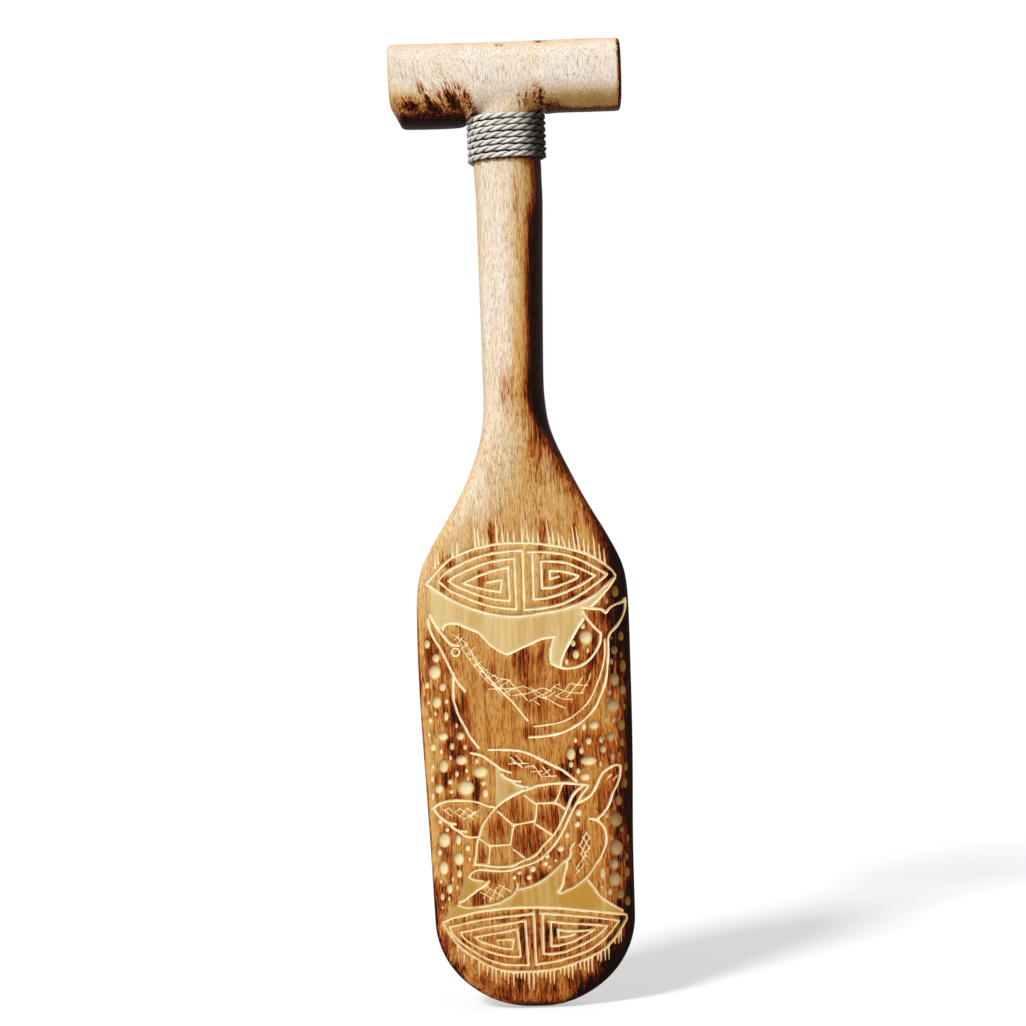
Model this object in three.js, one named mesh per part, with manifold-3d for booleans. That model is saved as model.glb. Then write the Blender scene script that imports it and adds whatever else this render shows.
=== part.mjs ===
// A carved wooden paddle: one plank worked into a broad blade, a round shaft and a T grip,
// with a natural-fibre cord wound round its neck. Millimetres, +Z towards the grip,
// -Y towards the carved face. The origin lies on the blade's flat back.
import * as THREE from 'three';
import { mergeVertices } from 'three/addons/utils/BufferGeometryUtils.js';
import Module from 'manifold-3d';

const wasm = await Module();
wasm.setup();

// Heights are counted from the blade's tip. The back plane is y = 0.
const LENGTH = 600;
const MOUNT_HEIGHT = 150;
const MID_PLANE = -11;

// Blade: a half ellipse at the tip, then nearly parallel sides up to the shoulders.
const TIP_HEIGHT = 56;
const TIP_HALF_WIDTH = 62;
const TIP_EDGE_RADIUS = 6;
const CROWN = 1.8;

// Stations are [height, value]; a smooth curve runs through each list.
const HALF_WIDTH = [
  [56, 62], [100, 62.9], [150, 64.6], [210, 66], [250, 65.8], [266, 64.4], [276, 61.6],
  [290, 54.6], [320, 37.4], [345, 26], [362, 20.8], [380, 19], [400, 19], [450, 19.8],
  [520, 21], [524, 21], [553, 21], [557, 21], [560, 22.3], [565, 26.5], [570, 33], [575, 42],
  [584, 44],
];
const CENTRE_LINE = [
  [56, 1.9], [150, 0.9], [250, 0.2], [300, 1.2], [330, 1.5], [365, -0.2], [400, -0.9],
  [500, 0.3], [516, -0.2], [520, -0.2],
];
const FRONT_DEPTH = [
  [0, 7.6], [20, 9], [60, 10.4], [120, 11], [290, 11.4], [330, 13.6], [365, 17],
  [390, 18.3], [450, 18.6], [520, 19.3], [524, 19.3], [553, 19.3], [557, 19.3], [570, 20.4],
  [584, 18],
];
const BACK_DEPTH = [
  [0, 11.6], [300, 11.6], [330, 13.2], [365, 16.4], [390, 18], [450, 18.6], [520, 19.3],
  [524, 19.3], [553, 19.3], [557, 19.3], [570, 20.4], [584, 18],
];
// 2 is an ellipse, and a larger number a flatter slab with rounded edges.
const SQUARENESS = [[0, 5], [60, 7], [270, 7], [310, 4.2], [350, 2.6], [400, 2.1], [500, 2]];
const BODY_LEVELS = [
  0.7, 2, 4, 7, 11, 16, 23, 32, 43, 56, 80, 110, 150, 190, 225, 246, 258, 266, 273, 281, 291,
  303, 315, 327, 338, 348, 356, 364, 374, 388, 410, 440, 470, 500, 520, 538, 557, 559, 562,
  565, 568, 571, 575, 584,
];
const BODY_SIDES = 36;

// T grip: a rounded bar across the top, deeper on its left half.
const GRIP_LEFT = -72;
const GRIP_RIGHT = 71.6;
const GRIP_BOTTOM = [[-30, 548.3], [-22, 550], [22, 555], [30, 556]];
const GRIP_HALF_DEPTH = 22;
const GRIP_LEFT_EDGE = 6;
const GRIP_RIGHT_EDGE = 4;
const GRIP_TOP_SQUARENESS = 3.2;
const GRIP_BOTTOM_SQUARENESS = 2.3;
const GRIP_SPAN_STEPS = 12;
const GRIP_EDGE_STEPS = 4;
const GRIP_SIDES = 32;

// Neck cord: one length wound down the neck, its ends laid flat at the back.
const NECK_HALF_WIDTH = 21;
const NECK_HALF_DEPTH = 19.3;
const NECK_CENTRE = -0.2;
const CORD_DIAMETER = 3.5;
const CORD_SIDES = 6;
const CORD_STEPS_PER_TURN = 24;
const CORD_PITCH = 4;
const CORD_STANDOFF = 1.86;
const CORD_TOP = 553.4;
const CORD_START_DEG = -110;
const CORD_END_DEG = 2470;
const SEAT_TOP = 556.9;
const SEAT_CLEARANCE = 0.4;

function along(stations, height) {
  const last = stations.length - 1;
  if (height <= stations[0][0]) return stations[0][1];
  if (height >= stations[last][0]) return stations[last][1];
  let i = 0;
  while (height > stations[i + 1][0]) i += 1;
  const slope = (k) => {
    const before = stations[Math.max(k - 1, 0)];
    const after = stations[Math.min(k + 1, last)];
    return (after[1] - before[1]) / (after[0] - before[0]);
  };
  const step = stations[i + 1][0] - stations[i][0];
  const t = (height - stations[i][0]) / step;
  const rise = stations[i][1] * (1 + 2 * t) + slope(i) * step * t;
  const fall = stations[i + 1][1] * (3 - 2 * t) + slope(i + 1) * step * (t - 1);
  return rise * (1 - t) ** 2 + fall * t ** 2;
}

function smoothStep(low, high, value) {
  const t = THREE.MathUtils.clamp((value - low) / (high - low), 0, 1);
  return t * t * (3 - 2 * t);
}

// The point of a superellipse at an angle, for half sizes of 1.
function superPoint(angle, squareness) {
  const c = Math.cos(angle);
  const s = Math.sin(angle);
  const power = 2 / squareness;
  return [Math.sign(c) * Math.abs(c) ** power, Math.sign(s) * Math.abs(s) ** power];
}

function bodyHalfWidth(height) {
  if (height > TIP_HEIGHT) return along(HALF_WIDTH, height);
  return TIP_HALF_WIDTH * Math.sqrt(1 - (1 - height / TIP_HEIGHT) ** 2);
}

// Depth falls away in a quarter round at the very tip.
function tipRounding(height) {
  if (height > TIP_EDGE_RADIUS) return 1;
  return Math.sqrt(1 - (1 - height / TIP_EDGE_RADIUS) ** 2);
}

// One closed section of blade, shaft or neck. The blade's back is cut flat at y = 0.
function bodyRing(height) {
  const rounding = tipRounding(height);
  const front = along(FRONT_DEPTH, height) * rounding;
  const back = along(BACK_DEPTH, height) * rounding;
  const flatBack = 30 * smoothStep(300, 400, height);
  const crown = CROWN * (1 - smoothStep(260, 350, height)) * rounding;
  const ring = [];
  for (let i = 0; i < BODY_SIDES; i += 1) {
    const angle = (2 * Math.PI * i) / BODY_SIDES;
    const [u, v] = superPoint(angle, along(SQUARENESS, height));
    const x = along(CENTRE_LINE, height) + u * bodyHalfWidth(height);
    const y = v < 0 ? MID_PLANE + v * (front - crown * u * u) : MID_PLANE + v * back;
    ring.push(new THREE.Vector3(x, Math.min(y, flatBack), height));
  }
  return ring;
}

// How far an edge of this radius draws in, at a distance from the end face.
function edgeInset(distance, radius) {
  if (distance >= radius) return 0;
  return radius - Math.sqrt(radius ** 2 - (radius - distance) ** 2);
}

function gripRing(x) {
  const inset = edgeInset(x - GRIP_LEFT, GRIP_LEFT_EDGE) + edgeInset(GRIP_RIGHT - x, GRIP_RIGHT_EDGE);
  const bottom = along(GRIP_BOTTOM, x);
  const halfHeight = (LENGTH - bottom) / 2;
  const ring = [];
  for (let i = 0; i < GRIP_SIDES; i += 1) {
    const angle = (2 * Math.PI * i) / GRIP_SIDES;
    const squareness = Math.sin(angle) > 0 ? GRIP_TOP_SQUARENESS : GRIP_BOTTOM_SQUARENESS;
    const [u, v] = superPoint(angle, squareness);
    const y = MID_PLANE + u * (GRIP_HALF_DEPTH - inset);
    ring.push(new THREE.Vector3(x, y, (LENGTH + bottom) / 2 + v * (halfHeight - inset)));
  }
  return ring;
}

// Places along the grip: close together on the rounded edges, even in between.
function gripPlaces() {
  const places = [];
  for (let i = 0; i < GRIP_EDGE_STEPS; i += 1) {
    const share = 1 - Math.cos((Math.PI / 2) * (i / GRIP_EDGE_STEPS));
    places.push(GRIP_LEFT + GRIP_LEFT_EDGE * share);
    places.push(GRIP_RIGHT - GRIP_RIGHT_EDGE * share);
  }
  const from = GRIP_LEFT + GRIP_LEFT_EDGE;
  const to = GRIP_RIGHT - GRIP_RIGHT_EDGE;
  for (let i = 0; i <= GRIP_SPAN_STEPS; i += 1) places.push(from + ((to - from) * i) / GRIP_SPAN_STEPS);
  return places.sort((a, b) => a - b);
}

// Skins a row of equal rings and closes both ends with a fan round a middle point.
function skin(rings, startMiddle, endMiddle) {
  const sides = rings[0].length;
  const points = [startMiddle, ...rings.flat(), endMiddle];
  const faces = [];
  const at = (row, side) => 1 + row * sides + (side % sides);
  for (let side = 0; side < sides; side += 1) {
    faces.push(0, at(0, side + 1), at(0, side));
    for (let row = 0; row < rings.length - 1; row += 1) {
      faces.push(at(row, side), at(row, side + 1), at(row + 1, side));
      faces.push(at(row, side + 1), at(row + 1, side + 1), at(row + 1, side));
    }
    faces.push(at(rings.length - 1, side), at(rings.length - 1, side + 1), points.length - 1);
  }
  const geometry = new THREE.BufferGeometry();
  geometry.setAttribute('position', new THREE.Float32BufferAttribute(points.flatMap((p) => p.toArray()), 3));
  geometry.setIndex(faces);
  return geometry;
}

function toSolid(geometry) {
  const bare = geometry.clone();
  bare.deleteAttribute('normal');
  bare.deleteAttribute('uv');
  const merged = mergeVertices(bare, 1e-4);
  return new wasm.Manifold(new wasm.Mesh({
    numProp: 3,
    vertProperties: new Float32Array(merged.attributes.position.array),
    triVerts: new Uint32Array(merged.index.array),
  }));
}

function toGeometry(solid) {
  const mesh = solid.getMesh();
  const geometry = new THREE.BufferGeometry();
  geometry.setAttribute('position', new THREE.BufferAttribute(new Float32Array(mesh.vertProperties), 3));
  geometry.setIndex(new THREE.BufferAttribute(new Uint32Array(mesh.triVerts), 1));
  geometry.computeVertexNormals();
  return geometry;
}

function middleOf(ring) {
  const sum = ring.reduce((total, point) => total.add(point), new THREE.Vector3());
  return sum.divideScalar(ring.length);
}

function bladeShaftNeck() {
  const rings = BODY_LEVELS.map(bodyRing);
  const tip = new THREE.Vector3(along(CENTRE_LINE, 0), MID_PLANE, 0);
  return skin(rings, tip, middleOf(rings.at(-1)));
}

function gripBar() {
  const rings = gripPlaces().map(gripRing);
  return skin(rings, middleOf(rings[0]), middleOf(rings.at(-1)));
}

// The room under the grip that the wound cord takes up.
function cordSeat() {
  const reach = CORD_STANDOFF + (CORD_DIAMETER / 2) * Math.cos(Math.PI / CORD_SIDES) + SEAT_CLEARANCE;
  const oval = new THREE.Shape();
  const [halfWidth, halfDepth] = [NECK_HALF_WIDTH + reach, NECK_HALF_DEPTH + reach];
  oval.absellipse(NECK_CENTRE, MID_PLANE, halfWidth, halfDepth, 0, 2 * Math.PI, false, 0);
  const depth = SEAT_TOP - 500;
  const seat = new THREE.ExtrudeGeometry(oval, { depth, bevelEnabled: false, curveSegments: 48 });
  return seat.translate(0, 0, 500);
}

function carvedPaddle() {
  const grip = toSolid(gripBar()).subtract(toSolid(cordSeat()));
  return toGeometry(toSolid(bladeShaftNeck()).add(grip));
}

// Middle line of the cord. Angle 0 is the neck's right side, and the front follows it.
function cordPoint(degrees) {
  const angle = -THREE.MathUtils.degToRad(degrees);
  const [c, s] = [Math.cos(angle), Math.sin(angle)];
  const normal = new THREE.Vector2(c / NECK_HALF_WIDTH, s / NECK_HALF_DEPTH).normalize();
  const x = NECK_CENTRE + NECK_HALF_WIDTH * c + CORD_STANDOFF * normal.x;
  const y = MID_PLANE + NECK_HALF_DEPTH * s + CORD_STANDOFF * normal.y;
  return new THREE.Vector3(x, y, CORD_TOP - (CORD_PITCH * degrees) / 360);
}

// The wound stretch, with a straight piece one diameter long at each end.
function cordRoute() {
  const steps = Math.round(((CORD_END_DEG - CORD_START_DEG) / 360) * CORD_STEPS_PER_TURN);
  const route = [];
  for (let i = 0; i <= steps; i += 1) {
    route.push(cordPoint(CORD_START_DEG + ((CORD_END_DEG - CORD_START_DEG) * i) / steps));
  }
  const lead = route[0].clone().sub(route[1]).setLength(CORD_DIAMETER);
  const tail = route.at(-1).clone().sub(route.at(-2)).setLength(CORD_DIAMETER);
  return [route[0].clone().add(lead), ...route, route.at(-1).clone().add(tail)];
}

function leastGapToItself(route) {
  let least = Infinity;
  for (let i = 0; i < route.length; i += 1) {
    for (let j = i + CORD_STEPS_PER_TURN / 2; j < route.length; j += 1) {
      least = Math.min(least, route[i].distanceTo(route[j]));
    }
  }
  return least - CORD_DIAMETER;
}

function neckCord() {
  const route = cordRoute();
  console.log(`neck cord: least gap to itself ${leastGapToItself(route).toFixed(2)} mm`);
  const rings = route.map((point, i) => {
    const before = route[Math.max(i - 1, 0)];
    const after = route[Math.min(i + 1, route.length - 1)];
    const tangent = after.clone().sub(before).normalize();
    const outward = new THREE.Vector3(point.x - NECK_CENTRE, point.y - MID_PLANE, 0);
    outward.addScaledVector(tangent, -outward.dot(tangent)).normalize();
    const across = new THREE.Vector3().crossVectors(tangent, outward);
    const ring = [];
    for (let side = 0; side < CORD_SIDES; side += 1) {
      const angle = (2 * Math.PI * side) / CORD_SIDES;
      const offset = across.clone().multiplyScalar(Math.cos(angle));
      offset.addScaledVector(outward, -Math.sin(angle)).multiplyScalar(CORD_DIAMETER / 2);
      ring.push(point.clone().add(offset));
    }
    return ring;
  });
  return skin(rings, route[0], route.at(-1));
}

function piece(name, geometry, color, roughness) {
  const material = new THREE.MeshStandardMaterial({ color, roughness, metalness: 0 });
  const mesh = new THREE.Mesh(geometry, material);
  mesh.name = name;
  return mesh;
}

const paddle = new THREE.Group();
paddle.add(piece('carved_paddle', carvedPaddle(), 0xc89b62, 0.6));
paddle.add(piece('neck_cord', neckCord(), 0xcfc6b6, 0.9));
paddle.position.z = -MOUNT_HEIGHT;

export default paddle;
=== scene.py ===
"""A carved wooden paddle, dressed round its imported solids.

The wood is one mesh: a dense skin over the blade, shaft and neck, a carved face let into it,
and a remeshed T grip. The cord is wound from two plies. Heights are in millimetres from the
blade's tip until a mesh is finished, and the frame's origin lies 150 mm above the tip.
"""

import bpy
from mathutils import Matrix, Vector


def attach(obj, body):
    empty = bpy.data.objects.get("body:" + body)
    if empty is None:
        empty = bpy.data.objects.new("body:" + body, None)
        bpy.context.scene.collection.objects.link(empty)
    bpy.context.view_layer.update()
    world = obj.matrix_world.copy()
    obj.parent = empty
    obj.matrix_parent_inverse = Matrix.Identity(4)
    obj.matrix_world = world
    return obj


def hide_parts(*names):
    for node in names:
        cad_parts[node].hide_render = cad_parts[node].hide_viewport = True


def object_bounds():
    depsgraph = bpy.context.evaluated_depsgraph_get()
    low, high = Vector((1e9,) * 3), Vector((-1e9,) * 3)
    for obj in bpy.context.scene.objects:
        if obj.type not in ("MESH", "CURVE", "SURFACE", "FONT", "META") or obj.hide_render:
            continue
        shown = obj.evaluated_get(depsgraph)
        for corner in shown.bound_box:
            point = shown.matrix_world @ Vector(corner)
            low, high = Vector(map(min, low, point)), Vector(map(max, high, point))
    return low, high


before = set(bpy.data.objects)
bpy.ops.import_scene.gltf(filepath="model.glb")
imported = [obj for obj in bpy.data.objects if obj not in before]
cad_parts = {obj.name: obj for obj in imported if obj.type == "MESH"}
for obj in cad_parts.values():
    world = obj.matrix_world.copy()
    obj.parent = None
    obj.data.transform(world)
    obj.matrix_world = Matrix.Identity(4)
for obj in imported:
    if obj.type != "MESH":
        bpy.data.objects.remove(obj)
CAD_BOX = [[float(value) for value in corner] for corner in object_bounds()]

import math
from types import SimpleNamespace

import bmesh
import bpy
import numpy as np
from mathutils import Matrix, Vector
from mathutils.geometry import delaunay_2d_cdt

bl_info = {
    "name": "Carved Paddle",
    "version": (1, 0, 0),
    "blender": (4, 5, 0),
    "location": "View3D > Sidebar > Paddle",
    "description": "Makes a carved wooden paddle with a cord whipping",
    "category": "Object",
}

MM = 0.001
BODY = "root"
WOOD_NODE = "carved_paddle"
CORD_NODE = "neck_cord"

# The plank's own shape, station by station: [height, value].
LENGTH = 600
MOUNT_HEIGHT = 150
MID_PLANE = -11
TIP_HEIGHT = 56
TIP_HALF_WIDTH = 62
TIP_EDGE_RADIUS = 6
CROWN = 1.8
CROWN_FADES = (260, 350)
BACK_SWELLS = (300, 400)
SWELL = 30
HALF_WIDTH = [
    [56, 62], [100, 62.9], [150, 64.6], [210, 66], [250, 65.8], [266, 64.4], [276, 61.6],
    [290, 54.6], [320, 37.4], [345, 26], [362, 20.8], [380, 19], [400, 19], [450, 19.8],
    [520, 21], [524, 21], [553, 21], [557, 21], [560, 22.3], [565, 26.5], [570, 33],
    [575, 42], [584, 44],
]
CENTRE_LINE = [
    [56, 1.9], [150, 0.9], [250, 0.2], [300, 1.2], [330, 1.5], [365, -0.2], [400, -0.9],
    [500, 0.3], [516, -0.2], [520, -0.2],
]
FRONT_DEPTH = [
    [0, 7.6], [20, 9], [60, 10.4], [120, 11], [290, 11.4], [330, 13.6], [365, 17],
    [390, 18.3], [450, 18.6], [520, 19.3], [524, 19.3], [553, 19.3], [557, 19.3],
    [570, 20.4], [584, 18],
]
BACK_DEPTH = [
    [0, 11.6], [300, 11.6], [330, 13.2], [365, 16.4], [390, 18], [450, 18.6], [520, 19.3],
    [524, 19.3], [553, 19.3], [557, 19.3], [570, 20.4], [584, 18],
]
SQUARENESS = [[0, 5], [60, 7], [270, 7], [310, 4.2], [350, 2.6], [400, 2.1], [500, 2]]

# The T grip, a rounded bar across the top.
GRIP_LEFT = -72
GRIP_RIGHT = 71.6
GRIP_BOTTOM = [
    [-72, 561.6], [-69, 557.2], [-66.8, 552.8], [-64.8, 548.9], [-62, 548.3], [-30, 548.3],
    [-22, 550], [22, 555], [30, 556],
]
GRIP_HALF_DEPTH = 22
GRIP_LEFT_EDGE = 2.6
GRIP_RIGHT_EDGE = 2.2
GRIP_TOP_SQUARENESS = 3.2
GRIP_BOTTOM_SQUARENESS = 2.3
GRIP_SIDES = 72
GRIP_RINGS = 60
GRIP_END_RINGS = 5
# The corner of neck and bar: its lowest and highest point, and its reach across and in depth.
CORNER_LOW = 556
CORNER_HIGH = 574
CORNER_REACH = 46
CORNER_DEPTH = 26

# The round neck that the cord is wound on.
NECK_HALF_WIDTH = 21
NECK_HALF_DEPTH = 19.3
NECK_CENTRE = -0.2
CORD_PITCH = 4
CORD_STANDOFF = 1.86
CORD_TOP = 553.4
CORD_START_DEG = -110
CORD_END_DEG = 2470
CORD_LEAD = 3.5
CORD_STEP_DEG = 5
PLY_SIDES = 12
SEAT_BOTTOM = 500
SEAT_TOP = 556.9
SEAT_REACH = 4.3
SEAT_SIDES = 96
# The neck's top is modelled from below the cord to inside the bar, and opened under the cord.
NECK_START = 524
NECK_END = 584
NECK_STEP = 2
NECK_CUT = 539.5

# How finely the skin is laid, in millimetres and as shares of a half width.
LEVEL_STEP = 2.4
TIP_LEVELS = [0.7, 2.0]
FACE_BOTTOM = 4.0
FACE_LEVELS = 130
SHAFT_LEVELS = 91
FACE_TOP = FACE_BOTTOM + FACE_LEVELS * LEVEL_STEP
SKIN_TOP = FACE_TOP + SHAFT_LEVELS * LEVEL_STEP
SIDE_ANGLE = 15
SHARP_ANGLE = 50
SIDE_POINTS = 9
ACROSS = [0.985, 0.96, 0.925, 0.88, 0.82, 0.74, 0.64, 0.52, 0.38, 0.23, 0.08]
ROW_STEP = 1.1
CURVE_PARTS = 8
EDGE_ROW = 1.12
INNER_ROW = 0.62
EDGE_COLUMNS = [0.983, 0.972, 0.955, 0.93]
HOLLOW_RINGS = [(0, 1), (1.05, 18), (0.95, 16), (0.8, 12), (0.55, 8), (0.28, 5)]
GRID_STEP = 2.3
GRID_ROW = 0.866
GRID_REACH = 0.92
# Least gaps between points of each kind.
EDGE_ROW_GAP = 0.3
INNER_ROW_GAP = 0.22
HOLLOW_GAP = 0.24
GROUND_GAP = 0.45
COLUMN_GAP = 0.6
GRID_GAP = 1.15
CELL = 1.2

# How the cuts are shaped.
CUT_ROUNDNESS = 1.4
HOLLOW_ROUNDNESS = 2.2
LARGEST_BOWL = 3.2
FRINGE_NARROWS = 0.62
FRINGE_RISES = 0.5
GROUND_EDGE = 0.45
CUT_IN_GROUND = 0.4
FAR = 9.0
MOST_PAIRS = 1500000
# What the finish reads where nothing is carved.
UNCARVED = {"cut": -1.0, "bowl": -1.0, "deep": 0.0, "ground": -FAR}

# How the drawing is fitted to the face.
DRAWING_SCALE = 0.993
DRAWING_MIDDLE = 300
DRAWING_REACH = 0.968

# The drawing on the face, as paths of "x,height" points. A bar marks a corner.
UPPER_BAND = [
    "-58.5,266.2 -54,271 -49,276 -44,280 -38,282.8 -30,285.6 -20,287.7 -10,288.8 0,288.8"
    " 10,288 17,287 25,285.5 33,283.2 40,281 46,278 50,275.3 54,272.2 57,269.5 58.8,266.5",
    "-59.5,265 -52,259.8 -45,255.2 -35,250.2 -25,246.5 -15,244.2 -5,243 0,243.2 12,244.7"
    " 22,246 30,248 38,251 45,254.5 53,261 58,265",
    "0,284.2 -10,283.6 -20,282.3 -30,279.8 -40,275.5 -47,271.5 -52,266.5 | -50,265"
    " -45,260.5 -38,257.3 -30,253.5 -20,250 -10,248.3 -3.8,247.6 | -4,279.5 | -5,279.2"
    " -15,278.2 -25,276 -35,272.2 -42,269 -45.5,266.5 | -42,264 -35,260.5 -25,256.3"
    " -15,253.8 -7.7,253 | -8.2,274.2 | -9.5,273.8 -18,271.8 -28,268.5 -36.5,264.8"
    " | -30,262.5 -22,260.3 -13.3,258.7 | -12.2,266.3 | -21.5,264.8",
    "1.2,284 | 1.2,247 | 15,248 25,250 35,254.5 43,259.5 50,264.5 53.5,267.5 | 48,270.8"
    " 40,275.5 30,279.8 20,282 12,282.8 4.5,283",
    "7.2,283 | 7.2,253.5 | 15,253.8 25,256.5 35,260.5 42,264.2 46,267 | 40,270 35,272.5"
    " 28,275.5 20,276.5 12.5,277 | 12.7,260 | 20,260.5 28,263 34,265.5 35.5,267"
    " | 32,268.5 25,270.3 17.5,270.8 | 18,265.8 | 23.5,267",
]
LOWER_BAND = [
    "-55.5,53.7 -50,55.7 -45,57 -40,58.2 -35,59.3 -30,60 -20,61 -10,61.5 0,61.4 10,60.9"
    " 20,60 30,58.6 40,57.4 50,56 58.8,54.8",
    "-55.5,52.4 -52,46.4 -47.3,39.8 -42.6,35.2 -37,31.4 -30,26.8 -25,24.5 -20,22.8"
    " -15,21.9 -10,21.4 0,21.4 5,21.6 10,22.1 15,22.8 20,24 25,25.4 30,27.3 35,29.1"
    " 40,31.5 44.7,34.3 48.4,37.5 51.7,41.3 55,45.9 57.3,49.7 59,52.5 58.8,54.6",
    "0.5,57.6 -10,56.6 -20,55.9 -30,54.8 -40,53.2 -45,51.9 -52,50.7 | -49.6,45.9"
    " -46.4,42.2 -42.6,38.9 -38,35.7 -33.3,32.6 -28.6,29.8 -24,28 -19.3,26.6 -14.6,25.9"
    " -10,25.6 -3.3,25.4 | -4.5,53.4 | -10,52.4 -20,51.1 -30,49.9 -39.8,48 -45.4,47.1"
    " | -42.6,43.1 -39.8,40.8 -36,38.4 -32.4,36.6 -28.6,35 -24.9,33.6 -20,32.2 -15,31.2"
    " -8.1,30.8 | -9.7,48.3 | -15,47.3 -20,46.4 -30,45 -36.3,44 | -33.3,41.5 -28.6,39.6"
    " -24,38 -19.3,36.6 -13.2,35.7 | -12.3,42 | -22.3,41.6",
    "0.9,58.4 | 1.5,25.5 | 5,26.1 10,26.6 15,27.5 20,28.7 25,30 30,31.7 35.3,33.8"
    " 40,36.8 44.7,40.5 49.3,45.2 52,48.7 54,51 | 51.7,51.8 44.7,52.9 35.3,54.3 25,55.5"
    " 15,56.7 4.8,57.7",
    "6.4,57.6 | 6.2,32.2 | 10,31.9 15,32.2 20,33.1 25,35 30,37 35.3,39.4 40,42.4"
    " 43.7,45.5 46.6,48.3 | 40,49.2 30,50.1 20,51 10.4,52.5",
    "11.5,52.2 | 11.3,37 | 15,37 20,38 25,39.4 30,41.7 34.4,43.8 38.1,46.2 | 30,45.7"
    " 20,46.2 15.7,47.1 | 16,42.2 | 22.3,42.9 26,43.8",
]
WHALE = [
    "-49.9,236 -49,238.3 -46.7,239.7 -43.9,240 -40,239.3 -36.4,237.6 -31.7,235.5"
    " -28,233.7 -24.5,230 -21.5,226.4 -17.3,223.1 -12.6,220.3 -10,219.6 | -5,221.7"
    " 0,223.8 5,225.9 10,228 15,229.1 19.9,229.5",
    "18.5,228 16.9,222.7 16.4,218.5 16.5,215",
    "16.7,213.3 19.9,211.5 25,209.8 30.2,209.8 34.9,211 39.1,213.3 42.3,216.1"
    " 45.1,219.9 47.5,224.5 48.4,229.7",
    "37.9,240.2 34.9,236 32.3,231.6 26.9,222.7 24.6,218 23,213.3 22.7,211",
    "37.2,247.2 40,246.7 44.7,246.3 49.3,245.8 | 52.1,243.5 | 54.9,246.7 58.7,248.6"
    " 62.4,250 64.5,251.9 | 64.7,247.7 63.3,243 61,238.3 58.2,234.6 54.5,230.9"
    " 52.8,227.3 | 52.8,220.3 52.1,211.9 51.2,204 48.9,196.5 46.5,190.9 43.7,185.3"
    " 40,180.7 35.3,176.5 30.7,173.7 26,171.3 21.3,169.5 12,168 2,167.5",
    "37.7,244.9 39.5,241.1 42.3,237.4 45.1,234.1 48.4,230.9",
    "58.5,265 57,263 54,259 48,252.5 43,247.8",
    "-58.3,245.8 -56,241.6 -53.2,236.9 -50.4,233.2 -47.6,229.5 -44.8,226.8 -40.1,225.9",
    "-59.5,243 -57.9,236 -55.5,230.3 -52.7,225.9 -50.4,221.3 -48.1,216.1 -46.2,211.9"
    " -44.3,207.7 -42,203.5 -39.2,199.8 -37.3,197.5",
    "-44.3,208.7 -44.6,204 -44.6,192.3 -43.4,187.7 -42,183 -40.1,178.8 -37.8,174.6"
    " -35.9,170.4 -33,166 -30,162",
    "-30,215 -22,205 -15,197 -8,190 -3.5,184 1,178",
]
THIN_LINES = [
    "-45,222 -44,224 -42.5,224.4 -41,224 -40,222 -41,220 -42.5,219.6 -44,220 -45,222",
    "50.7,226.9 50.7,220.3 49.8,213.3 47.9,206.3 45.1,199.3 42.3,193.3 39.1,188.1"
    " 34.9,183.9 30.2,180.2 25.1,177.4 19.9,175.8 15,175.1 10,174.6 5,174.1",
]
WHALE_HATCH = [
    "-45,233.5 -38.7,230 -34,224.7 -30.7,218.7 -27,213.5 -22,208.5 -16,205 -9,203.5",
    "-39,224.5 -35,219 -32.5,215 -28,209 -23.5,203.5 -19,200 -12,198.3 -6,198",
    "-43,229.5 -39.5,233.3", "-42,226.5 -37,231.5", "-38.5,223.8 -34,228.5",
    "-35.5,220.2 -30.3,224.7", "-33.5,217.2 -28.4,219.6", "-31,213 -26,216",
    "-40.3,230.5 -37.6,224.3", "-36.6,228.4 -33.6,219.6", "-33.5,224 -30.4,215.2",
    "-30.8,218.5 -27.4,209.4", "-27,213.8 -23.6,205", "-28,209 -22,211", "-24.4,204.6 -18,207",
    "-23,208.8 -19.6,201 -14.7,194", "-20.5,201 -13,204.6", "-17.5,205.4 -14.4,200 -9.3,194",
    "-16,199.3 -9.3,203.4", "-9.3,202.7 -6,199.3 -2.7,195.3 1.3,190.7", "-22.7,198.3 -6,198.4",
    "-13,195.5 -6,198.4 -0.7,199.6", "-8,194 2,195 10.7,198 16,196",
    "-1,199.5 4,197 9,192.5 15,190.5", "2.7,190 8,192.7 14,195.3", "5.3,190.4 9,187.4",
    "10.7,192.7 16.7,189.3 20,187.3 24.7,185", "3,199 7,196.2 13.5,192", "13.3,192 18.7,195.3",
    "15.7,195.3 18,198.7 22,200.3", "18,198.7 20.7,197.3 24,196 30,194.3 36.3,194",
    "19.3,192.7 24.7,196 27.3,199.3 29,200.3 32,199.3 39.3,198.7", "19.3,192.7 24,190.7 30,190.3",
    "25.7,191.3 28,194.3 31.3,198 34,200.7 36.3,204.3", "35.3,194 37.3,198 40,202 41.3,206",
]
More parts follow.
